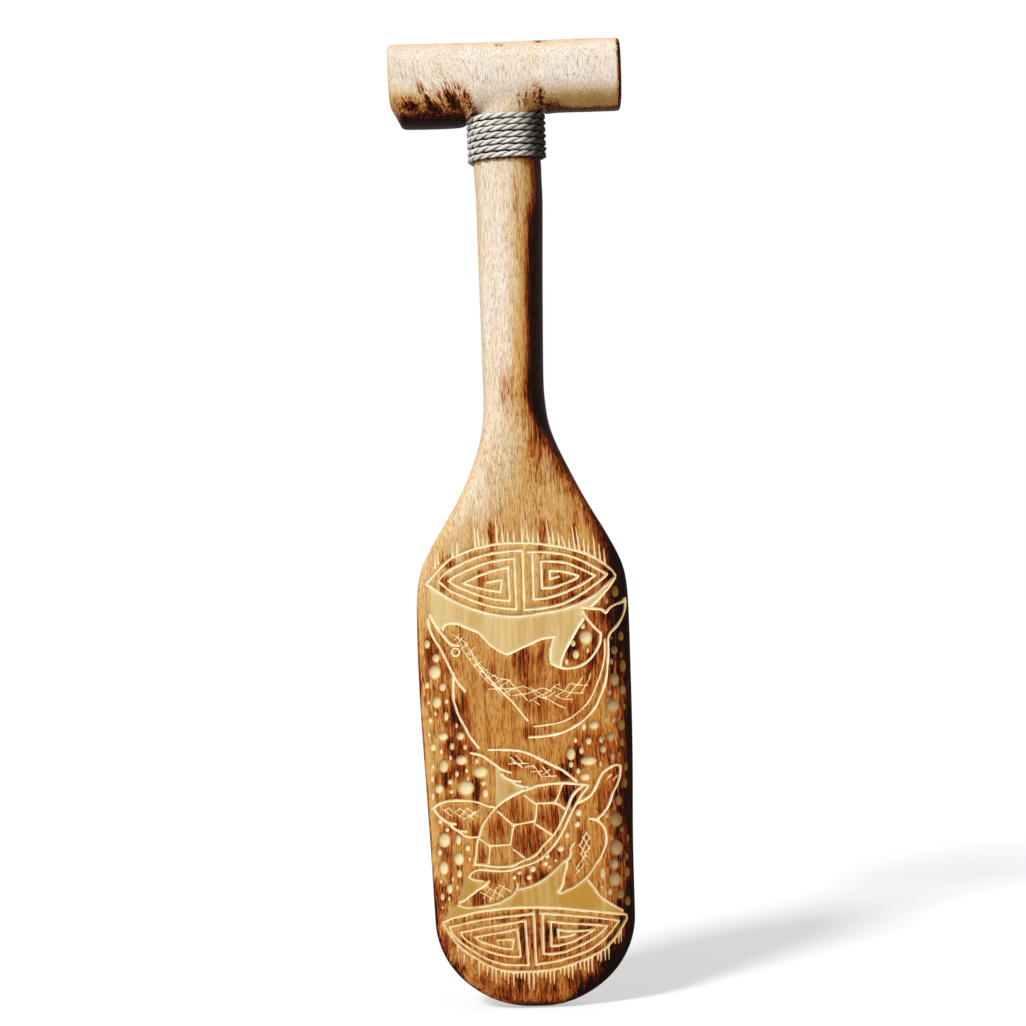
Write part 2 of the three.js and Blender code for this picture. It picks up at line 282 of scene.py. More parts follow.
TURTLE = [
    "-35.2,89.3 -34.9,90 -33.8,95 -32.8,102.9 -31.1,107.6 -29.3,113.2 -26,117.9"
    " -21.3,123.5 -17.1,127 -12,130.2 -7.3,132.6 -2.7,134.4 2,135.9 5,137 10,137.7"
    " 15,138.2 20,138.4 25,138.2 30.2,137.5 34.9,136.8 37.4,136.4",
    "-35,89.3 -30,89 -24.9,87.9 -20,87.4 -15.1,87.4 -10,88.3 -4.9,90.7 0,92.3 5,95.5"
    " 7.3,98.7 12,103.4 14.8,106.2 17.6,109.9 20.4,115.1 22.7,119.7 24.6,123.9"
    " 26.9,129.1 29.7,132.8 33.5,135.8",
    "-38.4,82 -37,83.9 -34.2,85.5 -30,86 -24.9,85.3 -20,84.8 -15.1,84.8 -10,85.8"
    " -4.9,87.4 0,88.7 5,90.9 8.7,93.5 12,96.7 15,100 18.5,104.8 21.3,109.5 23.4,113.7"
    " 25.5,117.9 27.9,122.1 30.7,126.7 33.5,131 37.4,135.5",
    "-38.4,81.3 -36,80 -33.3,79.2 -30,78.8",
    "-26.3,78.5 -29.6,75.3 -33.3,73.4 -36.1,71.1 -38.9,69.2 -41.3,67.3 -45,65.9",
    "-45.9,64.3 -42.6,62.9 -38.9,62.4 -34.2,62.7 -29.6,63.1 -24.9,63.8 -20,65"
    " -16.5,66.9 -12.8,68.7 -10,71.5 -8.6,74.8 -8.8,76.7",
    "-8.1,72.9 -4.9,73.4 0,74.8 5,76.9 10,79.9 15,84.1 18.5,87.4 21.3,89.7 24.1,91.6"
    " 25.1,93.9 25.5,98 27.4,100.6",
    "22.7,90.7 22.5,86 21.3,82.3 20.4,78.5 19.5,74.8 16.7,70.6 | 18,69.7 22.3,71.5"
    " 26,72.9 30.2,75.7 34.4,79 38.1,83.2 40.9,87.4 43.7,91.1 46.1,96 47.5,100.1"
    " 47.5,106.2 46.1,110.4 42.8,114.1 40,115.3 37.7,115.5",
    "30.7,125.6 34.9,127.7 38.1,129.5 40.9,132.8 43.3,137.5 45.1,141.2 47.5,144.5"
    " 50.7,146.6 54.9,148.4 58,148 | 57.5,141.7 55.4,135.6 52.6,130.9 50.7,125.3"
    " 48.4,121.1 45.6,117.9 42.8,115.5",
    "-24,160.5 -15,160.3 -5,159.3 2,157 8,153.8 15,150 22,146.2 27,142 30.5,139",
    "-35.3,158.9 -28.3,157.1 -23.7,153.8 -19.9,151 -17.1,148.7",
    "-60,124.9 -54.9,128.1 -49.3,129.3 -44.7,129.5 -40,129.3 -35.3,128.8 -30.7,127.7"
    " -26,125.6 -22,124.9",
    "-59.1,124.4 -56.3,120.3 -52.5,117.1 -49.6,115.4 -45.8,114.8",
    "-49.5,115 -47.2,112.2 -44.2,110.6 -38.9,110",
    "-43.9,110.2 -40.8,107.6 -37.2,106.4 -32.5,106.3",
    "-17,148.5 -13.4,146.9 -10.4,145.9", "-16.2,145 -13.4,142.5 -9.2,140.8 -4.6,140.2",
    "-9.6,139.9 -5.7,137.7 0,136.5",
    "56.5,57.5 50,61.5 45,65 42,67.8 40,71 35.3,77.6",
]
SHELL_PLATES = [
    "-19.5,122.1 -10.6,113.7", "-10.6,113.6 -8.3,113.4 3.3,115.3", "-9.9,113.2 -12.2,101.1",
    "-12.2,101 -25.1,100.8", "-25.1,100.8 -30.7,105", "-25,100.5 -25.4,95 -26.3,89.7",
    "3.6,115.5 5,124.4 4.5,125.8", "4.5,126 0.3,129.1 -2.5,131.5", "4.5,126.2 16.2,126.3",
    "16.2,126.3 18.1,129.5 21.1,137.5", "16.2,126 19,124.9 22.7,122.1", "3.1,113.9 13.4,106.7",
    "-10.5,98.1 -3.5,92.5",
]
TURTLE_HATCH = [
    "48.9,139.3 51.7,143", "50.7,140.7 52.6,142.6", "53,138.9 55.8,141.7",
    "-11.5,151.4 1,151.3", "-10.4,155.4 -3.1,148.6", "-7.1,156.8 -2.6,151.6", "-9.6,152.9 -4,150",
    "-1.6,149 4,149.2 8.6,143.2 18,142.9", "3.6,150.4 7,145.4", "9.2,149.2 14,143",
    "2.2,146.1 9.4,146.2", "9.4,144 13.8,147",
    "-54,124.6 -47.9,119.7", "-52.5,123.5 -49.3,125.1 -48.2,122.3",
    "-46.6,121.9 -42.7,124.8", "-43.3,119.6 -37.8,124.7", "-40.7,117.6 -33.4,122.3",
    "-36.4,119.4 -30.7,123.4", "-46.5,122.1 -40.2,117.6", "-43.1,124.7 -34.4,117.4",
    "-38.5,124.7 -31.5,119.3", "-30,68 -26,74", "-26,66.5 -21.5,74.5",
    "-22,67 -17,75.5", "-32,72 -24,67.5", "-28,75.5 -18,69", "-20,76 -13,72",
    "27.4,80.5 30.5,83.8 33.7,88.2", "28.7,85.3 34.2,92.6", "32.4,90.4 37.4,98.6",
    "31.5,93.4 34,98.6 37.4,104", "31,99 35.2,106.6", "35,107.6 37.9,102.8",
    "33.2,104.4 37.2,97", "30.8,99.7 35.5,91.8", "31.2,94.5 35.7,86.8", "28.3,84.6 30.5,82.8",
]
# Ground that was cut away round the creatures, as closed outlines.
GROUND = [
    "-59.5,265 -52,259.8 -45,255.2 -35,250.2 -25,246.5 -15,244.2 -5,243 0,243.2 12,244.7"
    " 22,246 30,248 38,251 45,254.5 53,261 58,265 57,263 54,259 48,252.5 43,247.8 40,246.7"
    " 37.2,247.2 37.7,244.9 37.9,240.2 34.9,236 32.3,231.6 26.9,222.7 24.6,218 23,213.3"
    " 22.7,211 19.9,211.5 16.7,213.3 16.5,215 16.4,218.5 16.9,222.7 18.5,228 15,229.1"
    " 10,228 5,225.9 0,223.8 -5,221.7 -10,219.6 -12.6,220.3 -17.3,223.1 -21.5,226.4"
    " -24.5,230 -28,233.7 -31.7,235.5 -36.4,237.6 -40,239.3 -43.9,240 -46.7,239.7"
    " -49,238.3 -50,236 -53.7,237.5 -58.3,245.8 -57,252 -56,258 -58.5,264",
    "-20,151 -17,148.7 -16.2,144.5 -13.4,142 -9.6,140.2 -5.7,137.6 -2.7,136.6 -2.7,134.4"
    " -7.3,132.6 -12,130.2 -17.1,127 -20.8,124.5 -20.3,130 -20,140",
    "-55.5,53.7 -50,55.7 -45,57 -40,58.2 -35,59.3 -30,60 -20,61 -10,61.5 0,61.4 10,60.9"
    " 20,60 30,58.6 40,57.4 50,56 58.8,54.8 56.5,57.5 50,61.5 45,65 42,67.8 40,71"
    " 35.3,77.6 34.4,79 30.2,75.7 26,72.9 22.3,71.5 18,69.7 16.7,70.6 19.5,74.8 20.4,78.5"
    " 21.3,82.3 22.5,86 22.7,90.7 21.3,89.7 18.5,87.4 15,84.1 10,79.9 5,76.9 0,74.8"
    " -4.9,73.4 -8.1,72.9 -10,71.5 -12.8,68.7 -16.5,66.9 -20,65 -24.9,63.8 -29.6,63.1"
    " -34.2,62.7 -38.9,62.4 -42.6,62.9 -45.9,64.3 -50,62",
    "-46,67.5 -45,65.9 -41.3,67.3 -38.9,69.2 -36.1,71.1 -33.3,73.4 -29.6,75.3 -26.3,78.5"
    " -30,78.8 -33.3,79.2 -36,80 -38.4,81.3 -40.5,86 -41.5,80 -43.5,73",
]
# Short tapered strokes round the two bands: base x, base height, top x, top height.
FRINGE = """-53.6,275,-53.2,285.6 -51.4,277.5,-51.8,285 -42.6,281.6,-42.6,288.6
-39.6,282.6,-39.8,290.6 -28,286.8,-28.6,302.8 -25.8,287.3,-26.6,300 -22.9,287.9,-23.7,293
-20.6,288.2,-20.7,292.8 -14.3,288.6,-15.1,306.4 -10.5,288.8,-11.6,302.6 -7.5,288.9,-7.8,297.2
-3.8,288.9,-4.2,297.2 1.4,288.7,0.8,306.8 5.2,288.4,3.7,302.8 7.9,288.2,8.1,297.6
11.4,287.8,10.9,295.6 18.3,286.8,16.6,303.8 20.9,286.4,19.8,299 24.3,285.7,23.7,296.2
27.8,285,26,293.6 30.6,284.2,30.3,291.4 34.1,283.1,32.4,299 36.8,282.2,35,297.6
39.9,281.1,39.3,291.2 42.4,280,42.1,287.6 46.4,278,45.6,292.2 49.5,275.8,49.1,286.6
52.5,273.6,52,283.6
-47,38.4,-47,34.6 -43.3,33,-43.6,26.6 -38.5,31.6,-38.7,27 -34.2,28.5,-34.4,20
-31.5,27,-31.5,23 -29,26,-29.2,19.6 -26,25,-26.2,16 -23.8,24.2,-23.8,14.6
-20.5,23,-20.6,18.6 -18.3,22.4,-18.4,16.6 -16,22,-16.1,14 -12.8,21.8,-12.7,12
-10.3,21.5,-10.4,17.6 -8,21.4,-8,17 -5.8,21.4,-5.9,16 -3.3,21.4,-3.2,10.6 -0.4,21.4,-0.4,9.6
2.2,21.5,2.2,18 5,21.6,5,17 7.5,21.8,7.6,16.6 10,22,10.1,13.6 12.5,22.4,12.5,12.6
16.5,23,16.6,19 19,23.6,19,18 21.5,24.2,21.6,16.6 24,25,24,15.6 26,25.6,26.1,21.6
29,26.6,29,21.6 31.5,27.6,31.6,21 34,28.6,34,19.6 36.3,29.6,36.4,20 40,31.4,40.1,26.6
42,32.6,42,26 44.7,34.4,44.8,26.6 47,36,47.1,27 51,40.4,51.1,36.6 53.5,43.6,53.6,37
55,45.6,55.1,37.6"""
# Gouged hollows: x, height, half width, half height.
HOLLOWS = """-60,227.3,1.9,2.8 -54.8,218.5,2.4,2.9 -55.8,209.6,4,4.6 -60.9,201.7,1.5,2.3
-51.3,200.3,2.2,2.7 -55.1,191,3.1,3.9 -60.3,191,.9,1.5 -49,191.4,1.3,1.6 -49.5,182,1.6,3
-59.5,179.7,1.5,2 -43.2,176.2,1,1.8 -41.1,169.5,2.7,2.8 -52,169.5,3.5,2.8
-46.5,163.2,1.6,2.4 -58.4,163,2,2.6 -53.4,160.2,1.2,1.8 -38.4,162.6,1.3,1.8
-47.6,156.2,1.1,1.7 -60.6,171,1,1.6 -56.2,184,1,1.5
-52.1,151,3.3,4.3 -40.8,154.5,3.9,3.3 -31.4,153.8,1.4,1.8 -29.3,146.8,5,4 -58.9,151,1,1.5
-59.4,143.3,1.2,2.3 -55.4,137,2.8,3.3 -48.4,141.2,1.7,1.9 -47.7,135.1,1.5,1.5
-44,146.1,1.4,2.1 -37.9,148,1.1,1.7 -37.2,143.1,.8,1.6 -38.6,137,5.4,5 -27.6,139.8,1.9,1.9
-26.7,133.5,2.2,3.3 -59.4,132.3,1.1,2.5 -55.4,116.5,1.3,1.8 -51.2,111.3,1.3,1.5
-53.1,104.8,3.9,4.8 -44.4,104.8,1.9,3.4 -38.8,99.7,1.7,2.2 -56.3,97.3,1.5,2.2
-44.5,93,3.5,4.3 -54.1,87.4,3.2,4.6 -44.5,83.7,1.8,2.8 -37.8,92.7,.9,1.4 -48.7,80.4,.8,1.7
-56.2,79,.8,1.4 -50.8,74.3,2.1,3.3 -46.1,75.3,.9,1.6 -55.5,69.4,1.4,2.5 -51.3,68.3,.8,1.6
-55.7,62.8,.7,1
58.2,256.5,2.2,3.6 52.8,250.7,1.2,1.8 61,228.5,1.7,3 55.2,227.6,.6,.9 56.6,219.9,2.1,2.7
60.8,216.8,.7,2 54.5,212.9,1.2,2 61.5,210,2,3.8 56.1,201.7,3,4.2 61,195.1,2,3.2
52.8,193.7,1.1,2 54.5,185.3,4.3,4.1 61.7,184.6,.7,1.9 50,176.9,1.1,2 54.5,176.5,1.5,2.2
59.6,173.2,2.3,3.5 42.3,173.7,3.5,3 36,173,1.5,2.5 52.6,166,2.4,3 46.4,164.4,1.4,2.2
59.4,162.4,1.7,2.6 38.6,163.8,2,2.4 30.4,164.6,1.2,1.8 34,158,1.5,2.2 47.6,158.4,2,2.6
27.4,156.1,2.9,4 27.4,149.6,1.4,2 31.6,145.4,1.4,1.9 35.8,141.7,3.2,2.5 38.4,151.5,5.4,3
45.6,149.4,1,2 53.3,153.6,1.5,2.5 57.5,155,1,1.8 61.4,147,1.3,3 60.4,137,1.5,3.2
56.3,126.3,2.1,3.3 54.2,114.4,4,4.6 48.2,116.9,1.1,1.9 57.7,108.1,1,1.8 51,102.7,.8,1.5
61.2,102.5,.9,2.4 54,96.7,4,5 52.4,86.5,2.8,3.4 60.3,91.1,.8,2.2 44.7,81.3,1.8,4
52.4,77.1,4,4.6 60.1,81.3,1.8,3.2 44,72.7,1,1.5 48.9,69.4,1.6,2.6 55.6,67.8,2.5,3.2
59.8,63.1,1.8,3 39.1,228.3,4.1,4.5 31.1,225,1.4,2 32.5,218,2.1,2.9 40,220.3,.9,1.8
26.5,213.8,1.2,2 37.4,235.5,1.5,1.8 1.3,85.4,2,2.3 -1.1,80.2,1.8,1.8 -7.2,83.2,1.4,1.2
-10.4,80.4,1.2,1.5 9.2,88.6,1.9,1.8 12,86.5,1,1 10.6,93,1.6,1.6 15.7,90.2,1,1
19,97.5,2.3,2.2 23.4,105.7,1.4,2 29.7,112.3,2,2.1 30.9,119.5,2,2.4"""


def smooth_step(low, high, value):
    share = np.clip((value - low) / (high - low), 0, 1)
    return share * share * (3 - 2 * share)


def along(stations, height):
    """Reads a station list at any height by a smooth curve, flat beyond its ends."""
    at, value = np.array(stations, float).T
    slope = np.empty(len(at))
    slope[1:-1] = (value[2:] - value[:-2]) / (at[2:] - at[:-2])
    slope[0] = (value[1] - value[0]) / (at[1] - at[0])
    slope[-1] = (value[-1] - value[-2]) / (at[-1] - at[-2])
    height = np.clip(height, at[0], at[-1])
    i = np.clip(np.searchsorted(at, height, side="right") - 1, 0, len(at) - 2)
    step = at[i + 1] - at[i]
    t = (height - at[i]) / step
    rise = value[i] * (1 + 2 * t) + slope[i] * step * t
    fall = value[i + 1] * (3 - 2 * t) + slope[i + 1] * step * (t - 1)
    return rise * (1 - t) ** 2 + fall * t**2


def half_width(height):
    height = np.asarray(height, float)
    tip = TIP_HALF_WIDTH * np.sqrt(1 - (1 - np.minimum(height, TIP_HEIGHT) / TIP_HEIGHT) ** 2)
    return np.where(height > TIP_HEIGHT, along(HALF_WIDTH, height), tip)


def tip_rounding(height):
    """Depth falls away in a quarter round at the very tip."""
    return np.sqrt(1 - (1 - np.minimum(height, TIP_EDGE_RADIUS) / TIP_EDGE_RADIUS) ** 2)


def skin_point(u, side, height):
    """Depth of the bare plank at a share u of its half width; side is -1 for the face."""
    squareness = along(SQUARENESS, height)
    v = (1 - np.minimum(np.abs(u), 1) ** squareness) ** (1 / squareness)
    rounding = tip_rounding(height)
    crown = CROWN * (1 - smooth_step(*CROWN_FADES, height)) * rounding
    front = MID_PLANE - v * (along(FRONT_DEPTH, height) * rounding - crown * u * u)
    back = MID_PLANE + v * along(BACK_DEPTH, height) * rounding
    back = np.minimum(back, SWELL * smooth_step(*BACK_SWELLS, height))
    return np.where(side < 0, front, back)


def face_depth(points):
    """Bare depth of the carved face at [x, height] points."""
    x, height = points.T
    u = (x - along(CENTRE_LINE, height)) / half_width(height)
    return skin_point(u, -1, height)


def skin_rings(heights):
    """Closed sections, from the face's right edge round the back to its left edge and home."""
    heights = np.asarray(heights, float)[:, None]
    power = 2 / along(SQUARENESS, heights)
    edge = math.cos(math.radians(SIDE_ANGLE)) ** power
    sweep = np.radians(np.linspace(-SIDE_ANGLE, SIDE_ANGLE, SIDE_POINTS))
    inward = np.array(ACROSS + [-share for share in reversed(ACROSS)])
    turn = np.cos(sweep) ** power
    u = np.hstack([turn, edge * inward, -turn, -edge * inward])
    half = len(sweep) // 2
    sides = [-1] * half + [1] * (half + 1 + len(inward) + half + 1) + [-1] * (half + len(inward))
    y = skin_point(u, np.array(sides)[None, :], heights)
    x = along(CENTRE_LINE, heights) + u * half_width(heights)
    z = np.broadcast_to(heights, x.shape)
    return np.stack([x, y, z], axis=2), len(sweep) + len(inward) + len(sweep) - 1


def read_points(text):
    return np.array([[float(value) for value in point.split(",")] for point in text.split()])


def on_face(points):
    """Takes the drawing in a little and keeps it off the rounded edge."""
    x = points[:, 0] * DRAWING_SCALE
    height = DRAWING_MIDDLE + (points[:, 1] - DRAWING_MIDDLE) * DRAWING_SCALE
    centre = along(CENTRE_LINE, height)
    reach = half_width(height) * DRAWING_REACH
    return np.stack([np.clip(x, centre - reach, centre + reach), height], axis=1)


def evenly(points, step):
    """Points at even steps along a smooth curve through a few given ones."""
    if len(points) > 2:
        before = np.vstack([2 * points[0] - points[1], points[:-1]])
        after = np.vstack([points[1:], 2 * points[-1] - points[-2]])
        reach = np.linalg.norm(points[1:] - points[:-1], axis=1)
        gaps = np.concatenate([[reach[0]], reach, [reach[-1]]])
        slope = (after - before) / (gaps[:-1] + gaps[1:])[:, None]
        fine = []
        for i, length in enumerate(reach):
            t = np.arange(CURVE_PARTS)[:, None] / CURVE_PARTS
            rise = points[i] * (1 + 2 * t) + slope[i] * length * t
            fall = points[i + 1] * (3 - 2 * t) + slope[i + 1] * length * (t - 1)
            fine.append(rise * (1 - t) ** 2 + fall * t**2)
        points = np.vstack([*fine, points[-1:]])
    length = np.concatenate([[0], np.cumsum(np.linalg.norm(np.diff(points, axis=0), axis=1))])
    wanted = np.linspace(0, length[-1], max(3, round(length[-1] / step) + 1))
    return np.stack([np.interp(wanted, length, points[:, k]) for k in (0, 1)], axis=1)


def gouge_hand(line):
    """How a gouge that is led by hand wavers in width and depth along its cut."""
    x, height = line.T
    return 1 + 0.12 * np.sin(x / 2.9 + height / 3.7) + 0.1 * np.sin(x / 1.3 - height / 1.7)


def strokes_of(paths, half, depth):
    """Splits each path at its corners into strokes of [points, half widths, depths]."""
    strokes = []
    for path in paths:
        last = None
        for run in path.split("|"):
            points = on_face(read_points(run))
            if last is not None:
                points = np.vstack([last, points])
            last = points[-1:]
            if len(points) > 1:
                line = evenly(points, ROW_STEP)
                hand = gouge_hand(line)
                strokes.append([line, half * hand, depth * hand])
    return strokes


def fringe_strokes(half, depth):
    """Strokes that taper and rise from base to point."""
    strokes = []
    for x, low, top_x, top in read_points(FRINGE):
        line = evenly(on_face(np.array([[x, low], [top_x, top]])), ROW_STEP)
        share = np.linspace(0, 1, len(line))
        narrowed, raised = 1 - FRINGE_NARROWS * share, 1 - FRINGE_RISES * share
        strokes.append([line, half * narrowed, depth * raised])
    return strokes


def gouge_strokes(settings):
    """Every cut line on the face, as wide and deep as its kind."""
    half = settings.line_width / MM / 2
    depth = settings.line_depth / MM
    kinds = (
        (UPPER_BAND + LOWER_BAND + WHALE + TURTLE, 1, 1),
        (SHELL_PLATES, 0.85, 0.9),
        (THIN_LINES, 0.65, 0.6),
        (WHALE_HATCH + TURTLE_HATCH, 0.46, 0.4),
    )
    strokes = []
    for paths, width_share, depth_share in kinds:
        strokes += strokes_of(paths, half * width_share, depth * depth_share)
    return strokes + fringe_strokes(half * 0.97, depth)


def groove(points, strokes):
    """How deep each point lies, and how far inside a cut: 1 on its middle, 0 on its edge."""
    deep = np.zeros(len(points))
    inside = np.full(len(points), -1.0)
    for line, half, depth in strokes:
        margin = 3
        beside = (points > line.min(0) - margin) & (points < line.max(0) + margin)
        near = np.flatnonzero(beside.all(1))
        start, step = line[:-1], line[1:] - line[:-1]
        square = np.maximum((step**2).sum(1), 1e-9)
        for part in np.array_split(near, 1 + len(near) * len(start) // MOST_PAIRS):
            offset = points[part][:, None, :] - start[None, :, :]
            t = np.clip((offset * step).sum(2) / square, 0, 1)
            distance = np.linalg.norm(offset - t[:, :, None] * step, axis=2)
            width = half[:-1] + (half[1:] - half[:-1]) * t
            most = depth[:-1] + (depth[1:] - depth[:-1]) * t
            profile = most * np.clip(1 - (distance / width) ** CUT_ROUNDNESS, 0, 1)
            deep[part] = np.maximum(deep[part], profile.max(1, initial=0))
            inside[part] = np.maximum(inside[part], (1 - distance / width).max(1, initial=-1))
    return deep, inside


def hollow(points, hollows, depth_share):
    """How deep each point lies in a gouged bowl, and how far inside it: 1 in its middle."""
    deep = np.zeros(len(points))
    inside = np.full(len(points), -1.0)
    for x, height, wide, high in hollows:
        r = np.hypot((points[:, 0] - x) / wide, (points[:, 1] - height) / high)
        near = r < 2
        bowl = min(wide, high, LARGEST_BOWL) * depth_share
        bowl = bowl * np.clip(1 - r[near] ** HOLLOW_ROUNDNESS, 0, 1)
        deep[near] = np.maximum(deep[near], bowl)
        inside[near] = np.maximum(inside[near], 1 - r[near])
    return deep, inside


def ground_share(points, outlines):
    """Signed distance into the ground that was cut away."""
    inside = np.full(len(points), -FAR)
    x, height = points.T
    for outline in outlines:
        ends = np.roll(outline, -1, axis=0)
        within = np.zeros(len(points), bool)
        distance = np.full(len(points), FAR)
        for (x0, z0), (x1, z1) in zip(outline, ends):
            if z0 != z1:
                crosses = (z0 > height) != (z1 > height)
                within ^= crosses & (x < (x1 - x0) * (height - z0) / (z1 - z0) + x0)
            step = np.array([x1 - x0, z1 - z0])
            t = ((x - x0) * step[0] + (height - z0) * step[1]) / max((step**2).sum(), 1e-9)
            t = np.clip(t, 0, 1)
            away = np.hypot(x - x0 - t * step[0], height - z0 - t * step[1])
            distance = np.minimum(distance, away)
        inside = np.maximum(inside, np.where(within, distance, -distance))
    return inside


class Layout:
    """Collects face points that keep a distance from those laid before, and fixed edges."""

    def __init__(self):
        self.points = []
        self.edges = []
        self.cells = {}

    def add(self, point, gap):
        x, height = point
        cell = (int(x // CELL), int(height // CELL))
        for i in (-1, 0, 1):
            for j in (-1, 0, 1):
                for k in self.cells.get((cell[0] + i, cell[1] + j), ()):
                    other = self.points[k]
                    if (other[0] - x) ** 2 + (other[1] - height) ** 2 < gap * gap:
                        return None
        self.points.append((float(x), float(height)))
        self.cells.setdefault(cell, []).append(len(self.points) - 1)
        return len(self.points) - 1

    def add_row(self, row, keep, gaps):
        last = None
        for point, kept, gap in zip(row, keep, np.broadcast_to(gaps, len(row))):
            here = self.add(point, gap) if kept else None
            if here is not None and last is not None:
                self.edges.append((last, here))
            last = here


def stroke_rows(strokes):
    """Rows of [order, points, share of the cut that they lie in, least gaps]."""
    rows = []
    for line, half, _ in strokes:
        tangent = np.gradient(line, axis=0)
        tangent /= np.maximum(np.linalg.norm(tangent, axis=1), 1e-9)[:, None]
        normal = np.stack([-tangent[:, 1], tangent[:, 0]], axis=1)
        edge_gaps = np.minimum(EDGE_ROW_GAP, 0.75 * half)
        places = [(0, 0), (1, EDGE_ROW), (1, -EDGE_ROW)]
        if half.min() >= 0.5:
            places += [(2, INNER_ROW), (2, -INNER_ROW)]
        for order, share in places:
            points = line + normal * (half * share)[:, None]
            gaps = edge_gaps if order < 2 else np.full(len(line), INNER_ROW_GAP)
            rows.append([order, points, 1 - abs(share), gaps])
        for end, way in ((0, -1), (-1, 1)):
            reach = EDGE_ROW * half[end]
            cap = [line[end] + reach * (way * c * tangent[end] + s * normal[end])
                   for c, s in ((0.6, 0.8), (1, 0), (0.6, -0.8))]
            rows.append([1, np.array(cap), 1 - EDGE_ROW, np.full(3, edge_gaps[end])])
    return sorted(rows, key=lambda row: row[0])


def within(points, share):
    """Which points lie inside a share of the face's half width."""
    off_middle = np.abs(points[:, 0] - along(CENTRE_LINE, points[:, 1]))
    return off_middle < share * half_width(points[:, 1])


def lay_strokes(layout, strokes):
    """Rows along the cuts, left out where another cut crosses them."""
    rows = stroke_rows(strokes)
    every = np.vstack([row[1] for row in rows])
    _, inside = groove(every, strokes)
    on_flat = within(every, 0.98)
    at = 0
    for _, row, own, gaps in rows:
        keep = (inside[at:at + len(row)] < own + 0.1) & on_flat[at:at + len(row)]
        layout.add_row(row, keep, gaps)
        at += len(row)


def lay_hollows(layout, hollows):
    for x, height, wide, high in hollows:
        for share, sides in HOLLOW_RINGS:
            turn = 2 * math.pi * np.arange(sides + 1) / sides
            ring = np.stack([x + wide * share * np.cos(turn), height + high * share * np.sin(turn)], 1)
            count = sides + 1 if share else 1
            layout.add_row(ring[:count], within(ring, 0.975), HOLLOW_GAP)


def lay_rest(layout, heights):
    """Columns beside the rounded edge, then a grid of even triangles."""
    for height in heights:
        centre = along(CENTRE_LINE, height)
        reach = half_width(height)
        for share in EDGE_COLUMNS:
            layout.add((centre - reach * share, height), COLUMN_GAP)
            layout.add((centre + reach * share, height), COLUMN_GAP)
    for row, height in enumerate(np.arange(heights[0], heights[-1], GRID_STEP * GRID_ROW)):
        centre = along(CENTRE_LINE, height)
        reach = half_width(height) * GRID_REACH
        start = centre - reach + (row % 2) * GRID_STEP / 2
        for x in np.arange(start, centre + reach, GRID_STEP):
            layout.add((x, height), GRID_GAP)


def lay_face(outline, heights, strokes, hollows, outlines):
    """Chooses the face's points and triangulates them inside its outline."""
    layout = Layout()
    for point in outline:
        layout.add(point, 0)
    count = len(outline)
    layout.edges += [(i, (i + 1) % count) for i in range(count)]
    lay_strokes(layout, strokes)
    lay_hollows(layout, hollows)
    for border in outlines:
        line = evenly(np.vstack([border, border[:1]]), ROW_STEP)
        layout.add_row(line, np.ones(len(line), bool), GROUND_GAP)
    lay_rest(layout, heights)
    flat = [Vector(point) for point in layout.points]
    verts, _, faces, origins, _, _ = delaunay_2d_cdt(flat, layout.edges, [], 1, 1e-5)
    return np.array([tuple(vert) for vert in verts]), faces, origins


def carved_depth(points, strokes, hollows, outlines, settings):
    """Depth of the face at its points, and the marks that its finish reads."""
    cut_deep, cut_inside = groove(points, strokes)
    bowl_deep, bowl_inside = hollow(points, hollows, settings.hollow_depth)
    ground = ground_share(points, outlines)
    lowered = settings.ground_depth / MM * smooth_step(-GROUND_EDGE, GROUND_EDGE, ground)
    deep = np.maximum(np.maximum(cut_deep, lowered + CUT_IN_GROUND * cut_deep), bowl_deep)
    off_middle = np.abs(points[:, 0] - along(CENTRE_LINE, points[:, 1]))
    fade = smooth_step(0.985, 0.95, off_middle / half_width(points[:, 1]))
    marks = {"cut": cut_inside, "bowl": bowl_inside, "deep": cut_deep, "ground": ground}
    return face_depth(points) + deep * fade, marks


def face_border(count, left, first, last):
    """Ring points round the face: right edge up, top row, left edge down, bottom row."""
    across = range(left + 1, count)
    right = [row * count for row in range(first, last + 1)]
    top = [last * count + side for side in reversed(across)]
    far = [row * count + left for row in range(last, first - 1, -1)]
    bottom = [first * count + side for side in across]
    return right + top + far + bottom


def ring_quad(row, side, count):
    """The face between one side of a ring and the same side of the next ring."""
    after = (side + 1) % count
    here, above = row * count, (row + 1) * count
    return here + side, here + after, above + after, above + side


